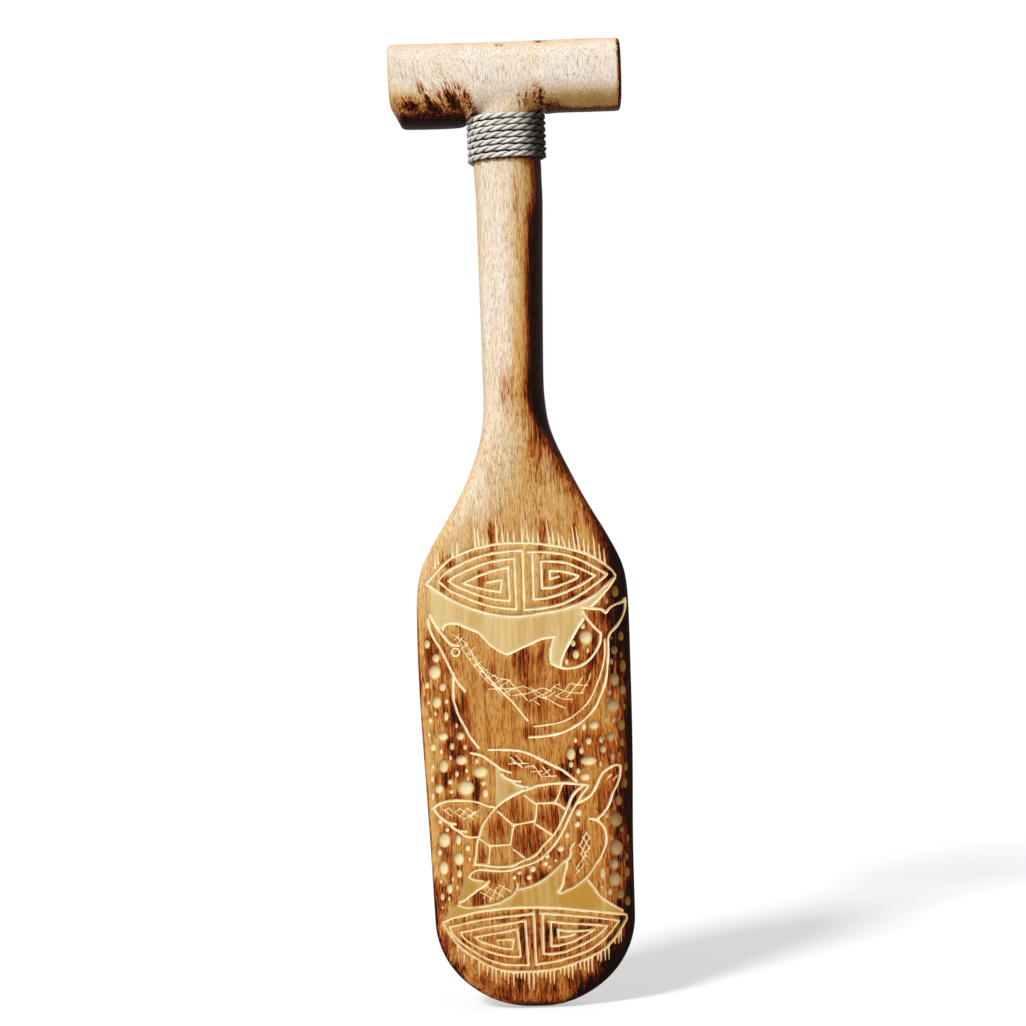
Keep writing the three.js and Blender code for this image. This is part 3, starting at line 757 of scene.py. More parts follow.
def carved_skin(settings):
    """The plank from tip to neck: points, faces, marks for its finish, and its open rim."""
    levels = np.concatenate([TIP_LEVELS, np.arange(FACE_BOTTOM, SKIN_TOP + 0.1, LEVEL_STEP)])
    rings, left = skin_rings(levels)
    count = rings.shape[1]
    first = len(TIP_LEVELS)
    last = int(np.argmin(np.abs(levels - FACE_TOP)))
    strokes = gouge_strokes(settings)
    hollows = read_points(HOLLOWS)
    hollows[:, :2] = on_face(hollows[:, :2])
    outlines = [on_face(read_points(outline)) for outline in GROUND]
    border = face_border(count, left, first, last)
    flat = rings.reshape(-1, 3)
    outline = [(flat[i][0], flat[i][2]) for i in border]
    heights = levels[first + 1:last]
    points, faces, origins = lay_face(outline, heights, strokes, hollows, outlines)
    depth, marks = carved_depth(points, strokes, hollows, outlines, settings)

    tip = len(flat)
    verts = [tuple(point) for point in flat] + [(float(along(CENTRE_LINE, 0)), MID_PLANE, 0.0)]
    index = {}
    inner = []
    for i, sources in enumerate(origins):
        on_border = [source for source in sources if source < len(border)]
        if on_border:
            index[i] = border[on_border[0]]
        else:
            index[i] = len(verts)
            verts.append((points[i][0], depth[i], points[i][1]))
            inner.append(i)
    for name, bare in UNCARVED.items():
        marks[name] = np.concatenate([np.full(len(flat) + 1, bare), marks[name][inner]])
    polygons = [tuple(index[i] for i in face) for face in faces]
    for row in range(len(levels) - 1):
        sides = left if first <= row < last else count
        polygons += [ring_quad(row, side, count) for side in range(sides)]
    polygons += [(tip, (side + 1) % count, side) for side in range(count)]
    rim = [(len(levels) - 1) * count + side for side in range(count)]
    return verts, polygons, marks, rim


def edge_inset(distance, radius):
    if distance >= radius:
        return 0
    return radius - math.sqrt(radius**2 - (radius - distance) ** 2)


def grip_ring(x, sides):
    inset = edge_inset(x - GRIP_LEFT, GRIP_LEFT_EDGE) + edge_inset(GRIP_RIGHT - x, GRIP_RIGHT_EDGE)
    bottom = float(along(GRIP_BOTTOM, x))
    half = (LENGTH - bottom) / 2
    ring = []
    for i in range(sides):
        angle = 2 * math.pi * i / sides
        c, s = math.cos(angle), math.sin(angle)
        power = 2 / (GRIP_TOP_SQUARENESS if s > 0 else GRIP_BOTTOM_SQUARENESS)
        u = math.copysign(abs(c) ** power, c)
        v = math.copysign(abs(s) ** power, s)
        y = MID_PLANE + u * (GRIP_HALF_DEPTH - inset)
        ring.append((x, y, (LENGTH + bottom) / 2 + v * (half - inset)))
    return ring


def show(name, data):
    piece = bpy.data.objects.new(name, data)
    bpy.context.scene.collection.objects.link(piece)
    return piece


def point_outwards(mesh):
    work = bmesh.new()
    work.from_mesh(mesh)
    bmesh.ops.recalc_face_normals(work, faces=work.faces)
    work.to_mesh(mesh)
    work.free()


def closed_tube(name, rings):
    """A closed mesh object through equal rings, in millimetres."""
    count = len(rings[0])
    verts = [point for ring in rings for point in ring]
    rows = range(len(rings) - 1)
    faces = [ring_quad(row, side, count) for row in rows for side in range(count)]
    faces.append(tuple(reversed(range(count))))
    faces.append(tuple(range(len(rows) * count, len(rings) * count)))
    mesh = bpy.data.meshes.new(name)
    mesh.from_pydata(verts, [], faces)
    point_outwards(mesh)
    return show(name, mesh)


def evaluated_mesh(piece):
    """A plain mesh of an object as its modifiers leave it."""
    bpy.context.view_layer.update()
    graph = bpy.context.evaluated_depsgraph_get()
    return bpy.data.meshes.new_from_object(piece.evaluated_get(graph))


def bake_modifiers(piece):
    """Gives an object the mesh that its modifiers make, and takes them off."""
    mesh = evaluated_mesh(piece)
    piece.modifiers.clear()
    old = piece.data
    piece.data = mesh
    bpy.data.meshes.remove(old)


def grip_bar():
    """The bar of the T grip, with rounded ends."""
    ends = [1 - math.cos(math.pi / 2 * i / GRIP_END_RINGS) for i in range(GRIP_END_RINGS)]
    left, right = GRIP_LEFT + GRIP_LEFT_EDGE, GRIP_RIGHT - GRIP_RIGHT_EDGE
    places = [GRIP_LEFT + GRIP_LEFT_EDGE * share for share in ends]
    places += list(np.linspace(left, right, GRIP_RINGS))
    places += [GRIP_RIGHT - GRIP_RIGHT_EDGE * share for share in reversed(ends)]
    return closed_tube("grip_bar", [grip_ring(x, GRIP_SIDES) for x in places])


def cord_seat():
    """The oval column that relieves the bar where the cord's top turn passes."""
    rings = []
    for height in (SEAT_BOTTOM, SEAT_TOP):
        ring = []
        for i in range(SEAT_SIDES):
            angle = 2 * math.pi * i / SEAT_SIDES
            x = NECK_CENTRE + (NECK_HALF_WIDTH + SEAT_REACH) * math.cos(angle)
            y = MID_PLANE + (NECK_HALF_DEPTH + SEAT_REACH) * math.sin(angle)
            ring.append((x, y, height))
        rings.append(ring)
    return closed_tube("cord_seat", rings)


def smooth(work, verts, rounds):
    for _ in range(rounds):
        bmesh.ops.smooth_vert(work, verts=verts, factor=0.5,
                              use_axis_x=True, use_axis_y=True, use_axis_z=True)


def in_corner(co):
    off_plane = abs(co.y - MID_PLANE)
    high = CORNER_LOW < co.z < CORNER_HIGH
    return high and abs(co.x) < CORNER_REACH and off_plane < CORNER_DEPTH


def grip_work(voxel):
    """The T grip and the top of the neck as one even, rounded mesh, open below the cord."""
    bar, seat = grip_bar(), cord_seat()
    relief = bar.modifiers.new("cord seat", "BOOLEAN")
    relief.operation = "DIFFERENCE"
    relief.object = seat
    bake_modifiers(bar)
    rings, _ = skin_rings(np.arange(NECK_START, NECK_END + 0.1, NECK_STEP))
    neck = closed_tube("neck_top", [[tuple(point) for point in ring] for ring in rings])
    work = bmesh.new()
    work.from_mesh(bar.data)
    work.from_mesh(neck.data)
    work.to_mesh(bar.data)
    work.free()
    remesh = bar.modifiers.new("even skin", "REMESH")
    remesh.mode = "VOXEL"
    remesh.voxel_size = voxel
    bake_modifiers(bar)
    mesh = bar.data
    work = bmesh.new()
    work.from_mesh(mesh)
    smooth(work, work.verts, 3)
    smooth(work, [vert for vert in work.verts if in_corner(vert.co)], 10)
    bmesh.ops.bisect_plane(work, geom=work.verts[:] + work.edges[:] + work.faces[:],
                           plane_co=(0, 0, NECK_CUT), plane_no=(0, 0, -1), clear_outer=True)
    work.to_mesh(mesh)
    work.free()
    for piece in (seat, neck, bar):
        bpy.data.objects.remove(piece)
    return mesh


def undulation(points):
    """The slight unevenness of a surface worked by hand."""
    x, y, z = points.T
    slow = np.sin(x / 17 + z / 41) * np.sin(z / 29 - y / 13 + 1.3)
    quick = np.sin(x / 6.1 + 2.1) * np.sin(z / 15.7 + y / 7) * 0.35
    return slow + quick


def worked_by_hand(co, normal, unevenness):
    """Lets the surface waver, but neither the flat back nor what lies under the cord."""
    held = smooth_step(-3.0, -1.0, co[:, 1]) * (1 - smooth_step(330, 380, co[:, 2]))
    under_cord = smooth_step(520, 524, co[:, 2]) * (1 - smooth_step(557, 560, co[:, 2]))
    reach = unevenness * (1 - held) * (1 - under_cord)
    return co + normal * (undulation(co) * reach)[:, None]


# Scorched spots on grip, shaft and flare: x, height, reach across, reach up, amount.
SPOTS = [
    (-32, 561, 5, 7.6, 1.0), (-35, 566, 1.8, 5, 0.8), (-29, 566, 1.2, 6, 0.5),
    (-43, 557, 6, 5, 0.95), (-47.5, 562, 2.2, 8.5, 0.85), (-39, 561, 1.5, 6.4, 0.5),
    (-58, 559.5, 6, 4.2, 0.9), (-65, 560, 2, 5, 0.45), (-41, 558, 13, 5, 0.42),
    (-58, 557, 10, 4.4, 0.5), (-22.5, 561, 2.4, 8.5, 0.6), (-19.5, 556, 1.4, 5, 0.42),
    (12.5, 560, 1.5, 8, 0.44), (8, 560, 1, 7, 0.3), (18, 563, 1.4, 7, 0.46),
    (21.5, 561, 2.2, 8, 0.68), (21, 555, 4, 4, 0.75), (27, 558, 6, 3, 0.5),
    (-52, 572, 0.9, 7, 0.2), (-36, 575, 0.9, 7, 0.22), (-44, 571, 0.7, 6, 0.16),
    (-3, 596, 2.5, 1.6, 0.3), (22, 599, 3.2, 2.2, 0.8), (29, 600, 2, 1.6, 0.5),
    (46, 600, 3.5, 1.6, 0.6), (-28, 599, 2, 2, 0.25),
    (14.5, 297, 1.6, 10, 0.12), (35, 297, 1.8, 10, 0.14),
    (-4, 384, 3, 10, 0.12), (-9, 378, 2, 9, 0.1), (12, 352, 4, 14, 0.2), (5, 500, 1.5, 14, 0.14),
]
# Darker stained patches on blade, flare and shaft: x, height, reach across, reach up, amount.
STAINS = [
    (-45, 278, 4, 4, 0.55), (-47, 265, 3, 5, 0.65), (-29, 282, 6, 2.5, 0.4), (-17.6, 292, 2.6, 10, 0.7),
    (-19, 282, 3.4, 3, 0.75), (-20, 275, 2.6, 4, 0.5), (-24, 267, 3.2, 5, 0.85),
    (-26, 254, 2.4, 3.4, 0.55), (-23, 249.5, 2.6, 1.8, 0.5), (14, 285, 3.4, 4, 0.5),
    (15, 296, 3.2, 7, 0.55), (14, 267, 2.4, 9, 0.45), (23, 277, 7, 4, 0.55), (25, 264, 6, 5, 0.65),
    (33, 262, 5, 5, 0.8), (23, 253, 9, 4, 0.6), (38, 267, 4.6, 5, 1.45), (36, 275, 4.6, 3, 1.15),
    (36, 281.5, 5, 2.4, 0.85), (41, 259, 5, 4, 0.75), (36, 253.5, 6, 3.4, 1.45), (55, 266, 4.6, 5, 1.15),
    (48, 268, 4, 6, 0.3), (60, 280, 4, 10, 0.55), (34, 292, 3, 7, 0.4), (0, 300, 34, 10, 0.16),
    (52, 243, 7, 6, 0.85), (42, 243, 4, 5, 0.6), (58, 255, 4, 8, 0.7), (56, 228, 4.6, 14, 0.75),
    (55, 205, 5, 14, 0.6), (-57.5, 222, 3.6, 10, 1.15), (-62, 205, 2.4, 14, 0.6), (-54, 198, 4, 8, 0.45),
    (-45, 228, 5, 9, 0.25), (-46, 213, 4, 6, 0.45), (-1, 216, 5, 11, 0.75), (10, 214, 3, 11, 0.35),
    (2, 205, 4, 8, 0.4), (22, 204, 4, 9, 0.4), (39, 207, 4, 10, 0.5), (45, 214, 3.4, 14, 0.5),
    (31, 225, 4.6, 9, 1.3), (41, 216, 6, 5, 1.15), (36, 236, 3.4, 3.4, 1.3), (45, 227, 3, 7, 0.8),
    (-42.5, 181, 3, 13, 1.45), (-38, 192, 2.6, 5, 0.8), (-36, 178, 3, 8, 0.45), (-52, 184, 5, 8, 0.4),
    (27, 186, 8, 7, 0.5), (6, 189, 7, 7, 0.35), (-22, 205, 8, 8, 0.2), (-44, 163, 4.4, 7, 1.45),
    (-34, 163, 4, 7, 0.45), (2, 171, 4, 4.4, 0.75), (30, 155, 6, 6.4, 1.45), (36, 166, 4, 4, 0.7),
    (46, 160, 6, 9, 0.4), (-8, 153, 8, 4, 0.6), (8, 148, 7, 4, 0.5), (-51, 147, 3.2, 7, 1.3),
    (-32, 138, 2.6, 8, 1.45), (-42, 149, 4.4, 5, 0.75), (-46, 133, 5, 2.6, 0.6), (-57, 140, 3, 8, 0.3),
    (-45, 113, 6, 4, 0.5), (-33, 112, 3, 4.6, 0.6), (-50, 121, 5, 4, 0.3), (25.5, 132, 5, 6, 1.45),
    (24, 146, 4.6, 4.6, 1.45), (12, 132, 6, 4.4, 0.6), (12, 118, 8, 7, 0.62), (-8, 122, 6, 7, 0.3),
    (0, 104, 9, 9, 0.6), (-20, 112, 6, 7, 0.4), (-30, 97, 3, 6, 0.6), (47, 128, 4, 10, 0.6),
    (54, 124, 4, 20, 0.6), (33, 105, 4, 8, 0.35), (22, 78, 3, 6, 0.5), (28, 93, 3, 8, 0.35),
    (52, 95, 5, 26, 0.55), (3, 82, 11, 4, 0.65), (16, 95, 5, 6, 0.45), (-27, 82, 6, 3, 0.5),
    (-32, 70, 5, 5, 0.75), (-53, 100, 4, 12, 0.45), (-47, 85, 4, 8, 0.4), (-57, 71, 3.4, 10, 1.3),
    (-50, 73, 5, 5, 0.5), (55, 66, 6, 9, 0.6), (-5.5, 45, 1.8, 13, 1.45), (-1.5, 42, 2, 16, 0.75),
    (3, 45, 1.8, 13, 0.7), (8, 41, 1.8, 10, 1.3), (12, 48, 2.6, 4, 1.45), (-44, 43, 7, 4, 0.45),
    (-22, 57, 13, 2.4, 0.4), (-28, 46, 9, 3, 0.2), (-46, 57, 8, 2, 0.3), (21, 36, 10, 4, 0.55),
    (0, 30, 9, 4, 0.4), (-25, 33, 12, 3.4, 0.25), (33, 49, 4.4, 4, 0.85),
    (38, 53, 7, 1.8, 0.8), (30, 41, 7, 3, 0.4), (28, 28, 4.6, 3.4, 0.85), (42, 33, 6, 3.4, 0.6),
    (-47, 25, 4, 5, 0.85), (-55, 41, 3, 8, 0.7), (-32, 17, 5, 5, 0.5), (-20, 9, 9, 5, 0.6),
    (-8, 14, 9, 8, 0.72), (7, 12, 9, 8, 0.75), (25, 17, 5, 6, 1.45), (33, 11, 8, 7, 1.15),
    (45, 24, 7, 9, 1.15), (52, 36, 6, 8, 0.8), (-5, 386, 5, 14, 0.2), (12, 346, 6, 18, 0.34),
    (24, 334, 6, 12, 0.3), (-16, 335, 6, 18, 0.2), (14.5, 377, 3.6, 8, 1.2), (17, 366, 3.4, 7, 0.7),
]
# Tone of the blade's bare wood by height.
BLADE_TONE = [
    [0, 0.8], [22, 0.72], [40, 0.56], [58, 0.52], [80, 0.57], [110, 0.58], [190, 0.6],
    [235, 0.54], [262, 0.48], [290, 0.48],
]
# Share of the half width at which the dark right side starts, and at which it is black: scorched wood,
# with painted shade where the right side turns from the light.
SCORCH_AND_SHADE_START = [
    [0, 0.55], [30, 0.62], [60, 0.74], [110, 0.77], [190, 0.77], [215, 0.7], [250, 0.68],
    [290, 0.72], [310, 0.72], [330, 0.62], [350, 0.42], [370, 0.26], [384, 0.28], [398, 0.34],
    [485, 0.37], [500, 0.4], [524, 0.42],
]
SCORCH_AND_SHADE_FULL = [
    [0, 1.0], [60, 1.0], [110, 1.0], [190, 1.0], [215, 0.96], [250, 0.95], [290, 1.0],
    [310, 1.12], [330, 1.14], [350, 0.98], [370, 0.7], [384, 0.6], [398, 0.63], [485, 0.68],
    [500, 0.96], [524, 0.98],
]
# Where the painted shade across the shaft crosses its middle, as a share of its half width.
SHADE_MIDDLE = [[320, -0.3], [360, -0.1], [400, 0.05], [524, 0.2]]
# Where one part of the finish fades into the next: heights, distance across, and depth.
BLADE_FADES = (285, 320)
GRIP_BEGINS = (554, 558)
LOWEST_GRIP = 545
SHAFT_TOP = 556
BESIDE_NECK = (23.5, 25.5)
FRONT_FADES = (2, -8)
# The grip's left spots between these heights lean. Higher ones end behind the top's front edge.
LEANING_SPOTS = (550, 590)
SPOT_LEAN = 0.5
TOP_EDGE_DEPTH = -27


class Place:
    """Where points lie on the paddle, and their shares of the parts that fade into each other."""

    def __init__(self, points):
        x, y, z = points.T
        self.x, self.y, self.z = x, y, z
        self.u = (x - along(CENTRE_LINE, z)) / np.maximum(half_width(np.clip(z, 1, SHAFT_TOP)), 1)
        self.wave = 0.5 * np.sin(z / 21 + 1) + 0.3 * np.sin(z / 8.3) + 0.2 * np.sin(z / 47 + x / 9)
        self.beside = smooth_step(*BESIDE_NECK, np.abs(x)) * (z > LOWEST_GRIP)
        self.grip = np.maximum(smooth_step(*GRIP_BEGINS, z), self.beside)
        self.blade = 1 - smooth_step(*BLADE_FADES, z)
        self.shaft = (1 - self.blade) * (1 - self.grip)
        shade = self.u - along(SHADE_MIDDLE, z)
        self.across = smooth_step(-0.5, 0.42, shade + 0.07 * self.wave)
        self.low_right = smooth_step(14, 26, x) * (1 - smooth_step(562, 572, z))
        self.front = smooth_step(*FRONT_FADES, y)


def bare_tone(at):
    """Tone of the bare wood with painted shade towards the right side, from 0 for bleached to 1 for brown.
    """
    x, z, u = at.x, at.z, at.u
    inside_left = smooth_step(-0.97, -0.72, u + 0.05 * at.wave)
    blade_tone = along(BLADE_TONE, z) + 0.12 * inside_left * (1 - smooth_step(240, 300, z))
    tone = at.blade * (blade_tone + 0.1 * smooth_step(-0.2, 0.9, u))
    left_edge = 0.14 * smooth_step(-0.84, -0.97, u)
    lower = 0.16 * (1 - smooth_step(310, 400, z))
    # The tone deepens towards the dark right side: painted shade that blends into the scorch.
    dark_side_start = along(SCORCH_AND_SHADE_START, z)
    near_dark_side = smooth_step(dark_side_start - 0.62, dark_side_start + 0.16, u + 0.08 * at.wave)
    near_dark_side = near_dark_side * smooth_step(350, 400, z) * (1 - 0.6 * smooth_step(465, 500, z))
    # across is painted shade that darkens the shaft towards its right side.
    tone += at.shaft * (0.1 + lower + left_edge + 0.3 * at.across + 0.32 * near_dark_side)
    low_grip = 0.2 + 0.42 * smooth_step(5, 18, x) + 0.5 * smooth_step(-19, -27, x)
    low_grip *= 1 - smooth_step(556, 575, z)
    top_edge = 0.16 * smooth_step(592, 598, z)
    left_end = 0.3 * smooth_step(-70, -71.8, x)
    tone += at.grip * (0.05 + top_edge + left_end + np.maximum(low_grip, 0.46 * at.low_right))
    return np.clip(tone, 0, 1)


def stained_share(at):
    """Strength of the stained streaks, up to 1.5 where patches run together."""
    x, z, u = at.x, at.z, at.u
    patches = np.zeros(len(x))
    for patch_x, height, wide, high, amount in STAINS:
        reach = ((x - patch_x) / wide) ** 2 + ((z - height) / high) ** 2
        patches = np.maximum(patches, amount * np.exp(-0.6 * reach**1.5))
    patches *= at.front
    clouds = 0.15 * (1 - at.front) * (1 + np.sin(z / 29 + x / 23))
    left_edge = 0.16 * smooth_step(-0.97, -0.85, u) * (1 - smooth_step(236, 252, z))
    stain = at.blade * (0.1 + left_edge + 0.9 * patches + clouds)
    # across adds painted shade towards the shaft's right side.
    on_shaft = at.shaft * (0.05 + 0.12 * at.across + 0.6 * patches)
    stain += on_shaft + at.grip * (0.03 + 0.06 * at.low_right)
    return np.clip(stain, 0, 1.5)


def grip_underside(at):
    """Scorching and painted shade under the grip, which reach higher on its left side and fade at that
    end.
    """
    near_neck = 1 - smooth_step(24, 42, at.x)
    low = np.where(at.x < 0, 561.0, 558.4 + 2.6 * near_neck)
    deep = np.where(at.x < 0, 551.0, 556.4 + 2 * near_neck)
    under = (1 - smooth_step(deep, low, at.z)) * at.grip * smooth_step(19, 27, np.abs(at.x))
    return under * np.where(at.x < 0, 0.5 + 0.5 * smooth_step(-70, -63, at.x), 0.75)


def burnt_and_shaded_share(at):
    """How far the surface is darkened, 1 being black: by scorch, and by painted shade on the right side,
    under the grip, on the grip's right end and under the cord.
    """
    x, y, z, u = at.x, at.y, at.z, at.u
    # The right side: scorched wood, with painted shade where it turns from the light.
    right = smooth_step(along(SCORCH_AND_SHADE_START, z), along(SCORCH_AND_SHADE_FULL, z), u + 0.04 * at.wave)
    # Painted shade on the grip's right end, which turns from the light.
    shaded_right_end = smooth_step(68.6, 70.6, x) * at.grip
    # Painted shade on the wood under and between the cord's turns.
    shade_under_cord = smooth_step(524.8, 526, z) * (1 - smooth_step(552, 553.5, z)) * (1 - at.beside)
    rim = smooth_step(0.93, 1.0, np.abs(u)) * (1 - smooth_step(58, 80, z))
    rim = 0.8 * np.maximum(rim, 1 - smooth_step(1, 7, z))
    left_rim = 0.5 * smooth_step(-0.975, -1.0, u) * (1 - smooth_step(235, 260, z))
    burnt = np.maximum.reduce([
        right * (1 - at.grip), grip_underside(at), 0.95 * shaded_right_end, shade_under_cord, rim, left_rim,
    ])
    for spot_x, height, wide, high, amount in SPOTS:
        leans = spot_x < -15 and LEANING_SPOTS[0] < height < LEANING_SPOTS[1]
        lean = SPOT_LEAN * (z - height) if leans else 0
        reach = ((x - spot_x + lean) / wide) ** 2 + ((z - height) / high) ** 2
        if height > LEANING_SPOTS[1]:
            reach = reach + (np.maximum(y - TOP_EDGE_DEPTH, 0) / 4) ** 2
        burnt = np.maximum(burnt, amount * np.exp(-reach) * at.front)
    return np.clip(burnt, 0, 1)


def finish_marks(points):
    """What the wood's finish reads: tone, stain, burning with painted shade, and how far the grain leans.
    """
    at = Place(points)
    lean = smooth_step(-12, -32, at.x) * smooth_step(550, 560, at.z)
    return {
        "tone": bare_tone(at), "stain": stained_share(at), "burnt": burnt_and_shaded_share(at), "lean": lean,
    }


def linear(red, green, blue):
    """A colour as the eye reads it, 0 to 255, turned into the values that a shader takes."""
    values = []
    for value in (red, green, blue):
        share = value / 255
        values.append(share / 12.92 if share <= 0.04045 else ((share + 0.055) / 1.055) ** 2.4)
    return (*values, 1.0)


def add_node(tree, kind, values=(), **settings):
    """Adds a node; values are (input, value or socket) pairs."""
    made = tree.nodes.new(kind)
    for name, value in settings.items():
        setattr(made, name, value)
    for name, value in values:
        if isinstance(value, bpy.types.NodeSocket):
            tree.links.new(value, made.inputs[name])
        else:
            made.inputs[name].default_value = value
    return made


def mix(tree, share, first, second, blend="MIX"):
    values = [(0, share), (6, first), (7, second)]
    return add_node(tree, "ShaderNodeMix", values, data_type="RGBA", blend_type=blend).outputs[2]


def reckon(tree, operation, *values, clamp=False):
    values = enumerate(values)
    return add_node(tree, "ShaderNodeMath", values, operation=operation, use_clamp=clamp).outputs[0]


def times(tree, first, second):
    return reckon(tree, "MULTIPLY", first, second)


def times_plus(tree, first, second, third, clamp=False):
    """first * second + third"""
    return reckon(tree, "MULTIPLY_ADD", first, second, third, clamp=clamp)


def vector_math(tree, operation, first, second, output="Vector"):
    values = [(0, first), (1, second)]
    return add_node(tree, "ShaderNodeVectorMath", values, operation=operation).outputs[output]


def combine(tree, x=0.0, y=0.0, z=0.0):
    return add_node(tree, "ShaderNodeCombineXYZ", enumerate((x, y, z))).outputs[0]


def ramp(tree, value, low, high, start=0.0, end=1.0):
    values = enumerate((value, low, high, start, end))
    return add_node(tree, "ShaderNodeMapRange", values, interpolation_type="SMOOTHSTEP").outputs[0]


def add_bump(tree, shader, height, strength, distance):
    values = [("Height", height), ("Strength", strength), ("Distance", distance)]
    tree.links.new(add_node(tree, "ShaderNodeBump", values).outputs[0], shader.inputs["Normal"])


def new_group(name, inputs, outputs):
    group = bpy.data.node_groups.new(name, "ShaderNodeTree")
    for socket, kind, value in inputs:
        made = group.interface.new_socket(socket, in_out="INPUT", socket_type=kind)
        if value is not None:
            made.default_value = value
    for socket, kind in outputs:
        group.interface.new_socket(socket, in_out="OUTPUT", socket_type=kind)
    return group, group.nodes.new("NodeGroupInput"), group.nodes.new("NodeGroupOutput")


def streaks_group():
    """Long thin marks that run along Z of the vector it is given, in millimetres."""
    group, given, result = new_group(
        "Long streaks",
        [
            ("Vector", "NodeSocketVector", None),
            ("Width", "NodeSocketFloat", 2.0),
            ("Length", "NodeSocketFloat", 30.0),
            ("Seed", "NodeSocketFloat", 0.0),
            ("Low", "NodeSocketFloat", 0.45),
            ("High", "NodeSocketFloat", 0.6),
        ],
        [("Mask", "NodeSocketFloat")],
    )
    width, length, seed = (given.outputs[name] for name in ("Width", "Length", "Seed"))
    scaled = vector_math(group, "DIVIDE", given.outputs["Vector"], combine(group, width, width, length))
    moved = vector_math(group, "ADD", scaled, combine(group, seed, seed, seed))
    noise = add_node(group, "ShaderNodeTexNoise",
                     [("Vector", moved), ("Scale", 1.0), ("Detail", 3.0), ("Roughness", 0.55)])
    mask = ramp(group, noise.outputs[0], given.outputs["Low"], given.outputs["High"])
    group.links.new(mask, result.inputs[0])
    return group


def streaks(tree, group, vector, width, length, seed, low, high):
    values = {"Vector": vector, "Width": width, "Length": length, "Seed": seed,
              "Low": low, "High": high}
    return add_node(tree, "ShaderNodeGroup", values.items(), node_tree=group).outputs[0]


def attribute(tree, name):
    return add_node(tree, "ShaderNodeAttribute", attribute_name=name).outputs["Fac"]


def new_material(name):
    material = bpy.data.materials.new(name)
    material.use_nodes = True
    tree = material.node_tree
    return material, tree, tree.nodes["Principled BSDF"]


def colour_ramp(tree, value, stops):
    made = add_node(tree, "ShaderNodeValToRGB", [(0, value)])
    points = made.color_ramp.elements
    while len(points) < len(stops):
        points.new(0.5)
    for point, (place, colour) in zip(points, stops):
        point.position = place
        point.color = colour
    return made.outputs[0]


# The grain's streaks, wide to fine: width, length, seed, and where a streak starts and is full.
GRAIN = {
    "zone": (9, 62, 7.7, 0.34, 0.66),
    "band": (3.4, 75, 3.1, 0.36, 0.64),
    "line": (1.3, 34, 11.7, 0.4, 0.66),
    "fleck": (0.62, 7, 23.2, 0.46, 0.64),
    "pores": (0.42, 4.2, 41.9, 0.56, 0.66),
}
WOOD_MARKS = ("tone", "stain", "burnt", "cut", "bowl", "deep", "ground")
# Heights over the mount: the one that the leaning grain turns round, and the grip's start.
LEAN_FROM = 420.0
GRIP_HEIGHTS = (398, 404)


def wood_grain(tree, in_mm, height):
    """Places along the grain, which wanders a little and leans at the grip's left side."""
    slow = vector_math(tree, "MULTIPLY", in_mm, (0.03, 0.03, 0.009))
    bend = add_node(tree, "ShaderNodeTexNoise", [("Vector", slow), ("Scale", 1.0), ("Detail", 1.0)])
    centred = vector_math(tree, "SUBTRACT", bend.outputs["Color"], (0.5,) * 3)
    wander = vector_math(tree, "MULTIPLY", centred, (14, 14, 0))
    grain = vector_math(tree, "ADD", in_mm, wander)
    above = reckon(tree, "SUBTRACT", height, LEAN_FROM)
    slant = times(tree, times(tree, attribute(tree, "lean"), above), 0.34)
    return vector_math(tree, "ADD", grain, combine(tree, slant))


def bare_colour(tree, settings, at):
    """Bare wood, from bleached to brown by its tone and a little by its streaks."""
    grained = times_plus(tree, at.zone, 0.12, times_plus(tree, at.line, 0.1, -0.11))
    return colour_ramp(tree, reckon(tree, "ADD", at.tone, grained), [
        (0.0, settings.pale_wood), (0.28, settings.cream_wood), (0.52, settings.golden_wood),
        (0.8, settings.amber_wood), (1.0, settings.brown_wood),
    ])


def ground_colour(tree, settings, at):
    """The ground round the figures: smooth and golden, deeper low down, pale at its edges."""
    deeper = times_plus(tree, at.band, 0.25, times(tree, at.zone, 0.45))
    deeper = times_plus(tree, ramp(tree, at.height, 30, -70), 0.55, deeper, clamp=True)
    colour = mix(tree, deeper, settings.ground_light, settings.ground_deep)
    colour = mix(tree, times(tree, at.line, 0.14), colour, settings.amber_wood)
    uneven = times_plus(tree, at.band, 0.3, 0.2)
    haze = times(tree, uneven, ramp(tree, at.height, -90, 30, 0.3, 1.0))
    haze = times(tree, ramp(tree, at.ground, 3.2, 0.2), haze)
    colour = mix(tree, haze, colour, settings.hollow_wood)
    # Red brown where scorch and painted shade darken the ground.
    return mix(tree, times(tree, at.burnt, 0.7), colour, settings.red_brown)


def stain_burn_and_shade(tree, at):
    """Stain gathers in bands and lines; burning and painted shade break up along them, most on the grip.
    """
    gathered = times_plus(tree, at.band, 0.5, 0.45)
    lined = times_plus(tree, at.line, 0.36, times_plus(tree, at.fleck, 0.42, 0.36))
    flame = times(tree, times(tree, gathered, lined), at.stain)
    broken = times_plus(tree, at.line, 0.24, times_plus(tree, at.fleck, 0.26, -0.24))
    on_grip = ramp(tree, at.height, *GRIP_HEIGHTS)
    broken = times(tree, broken, times_plus(tree, on_grip, 0.8, 1.0))
    scorch_shade = times_plus(tree, broken, ramp(tree, at.burnt, 0.02, 0.34), at.burnt)
    scorch_shade = times(tree, scorch_shade, times_plus(tree, on_grip, 0.3, 1.0))
    return reckon(tree, "ADD", scorch_shade, times(tree, flame, 1.25), clamp=True)


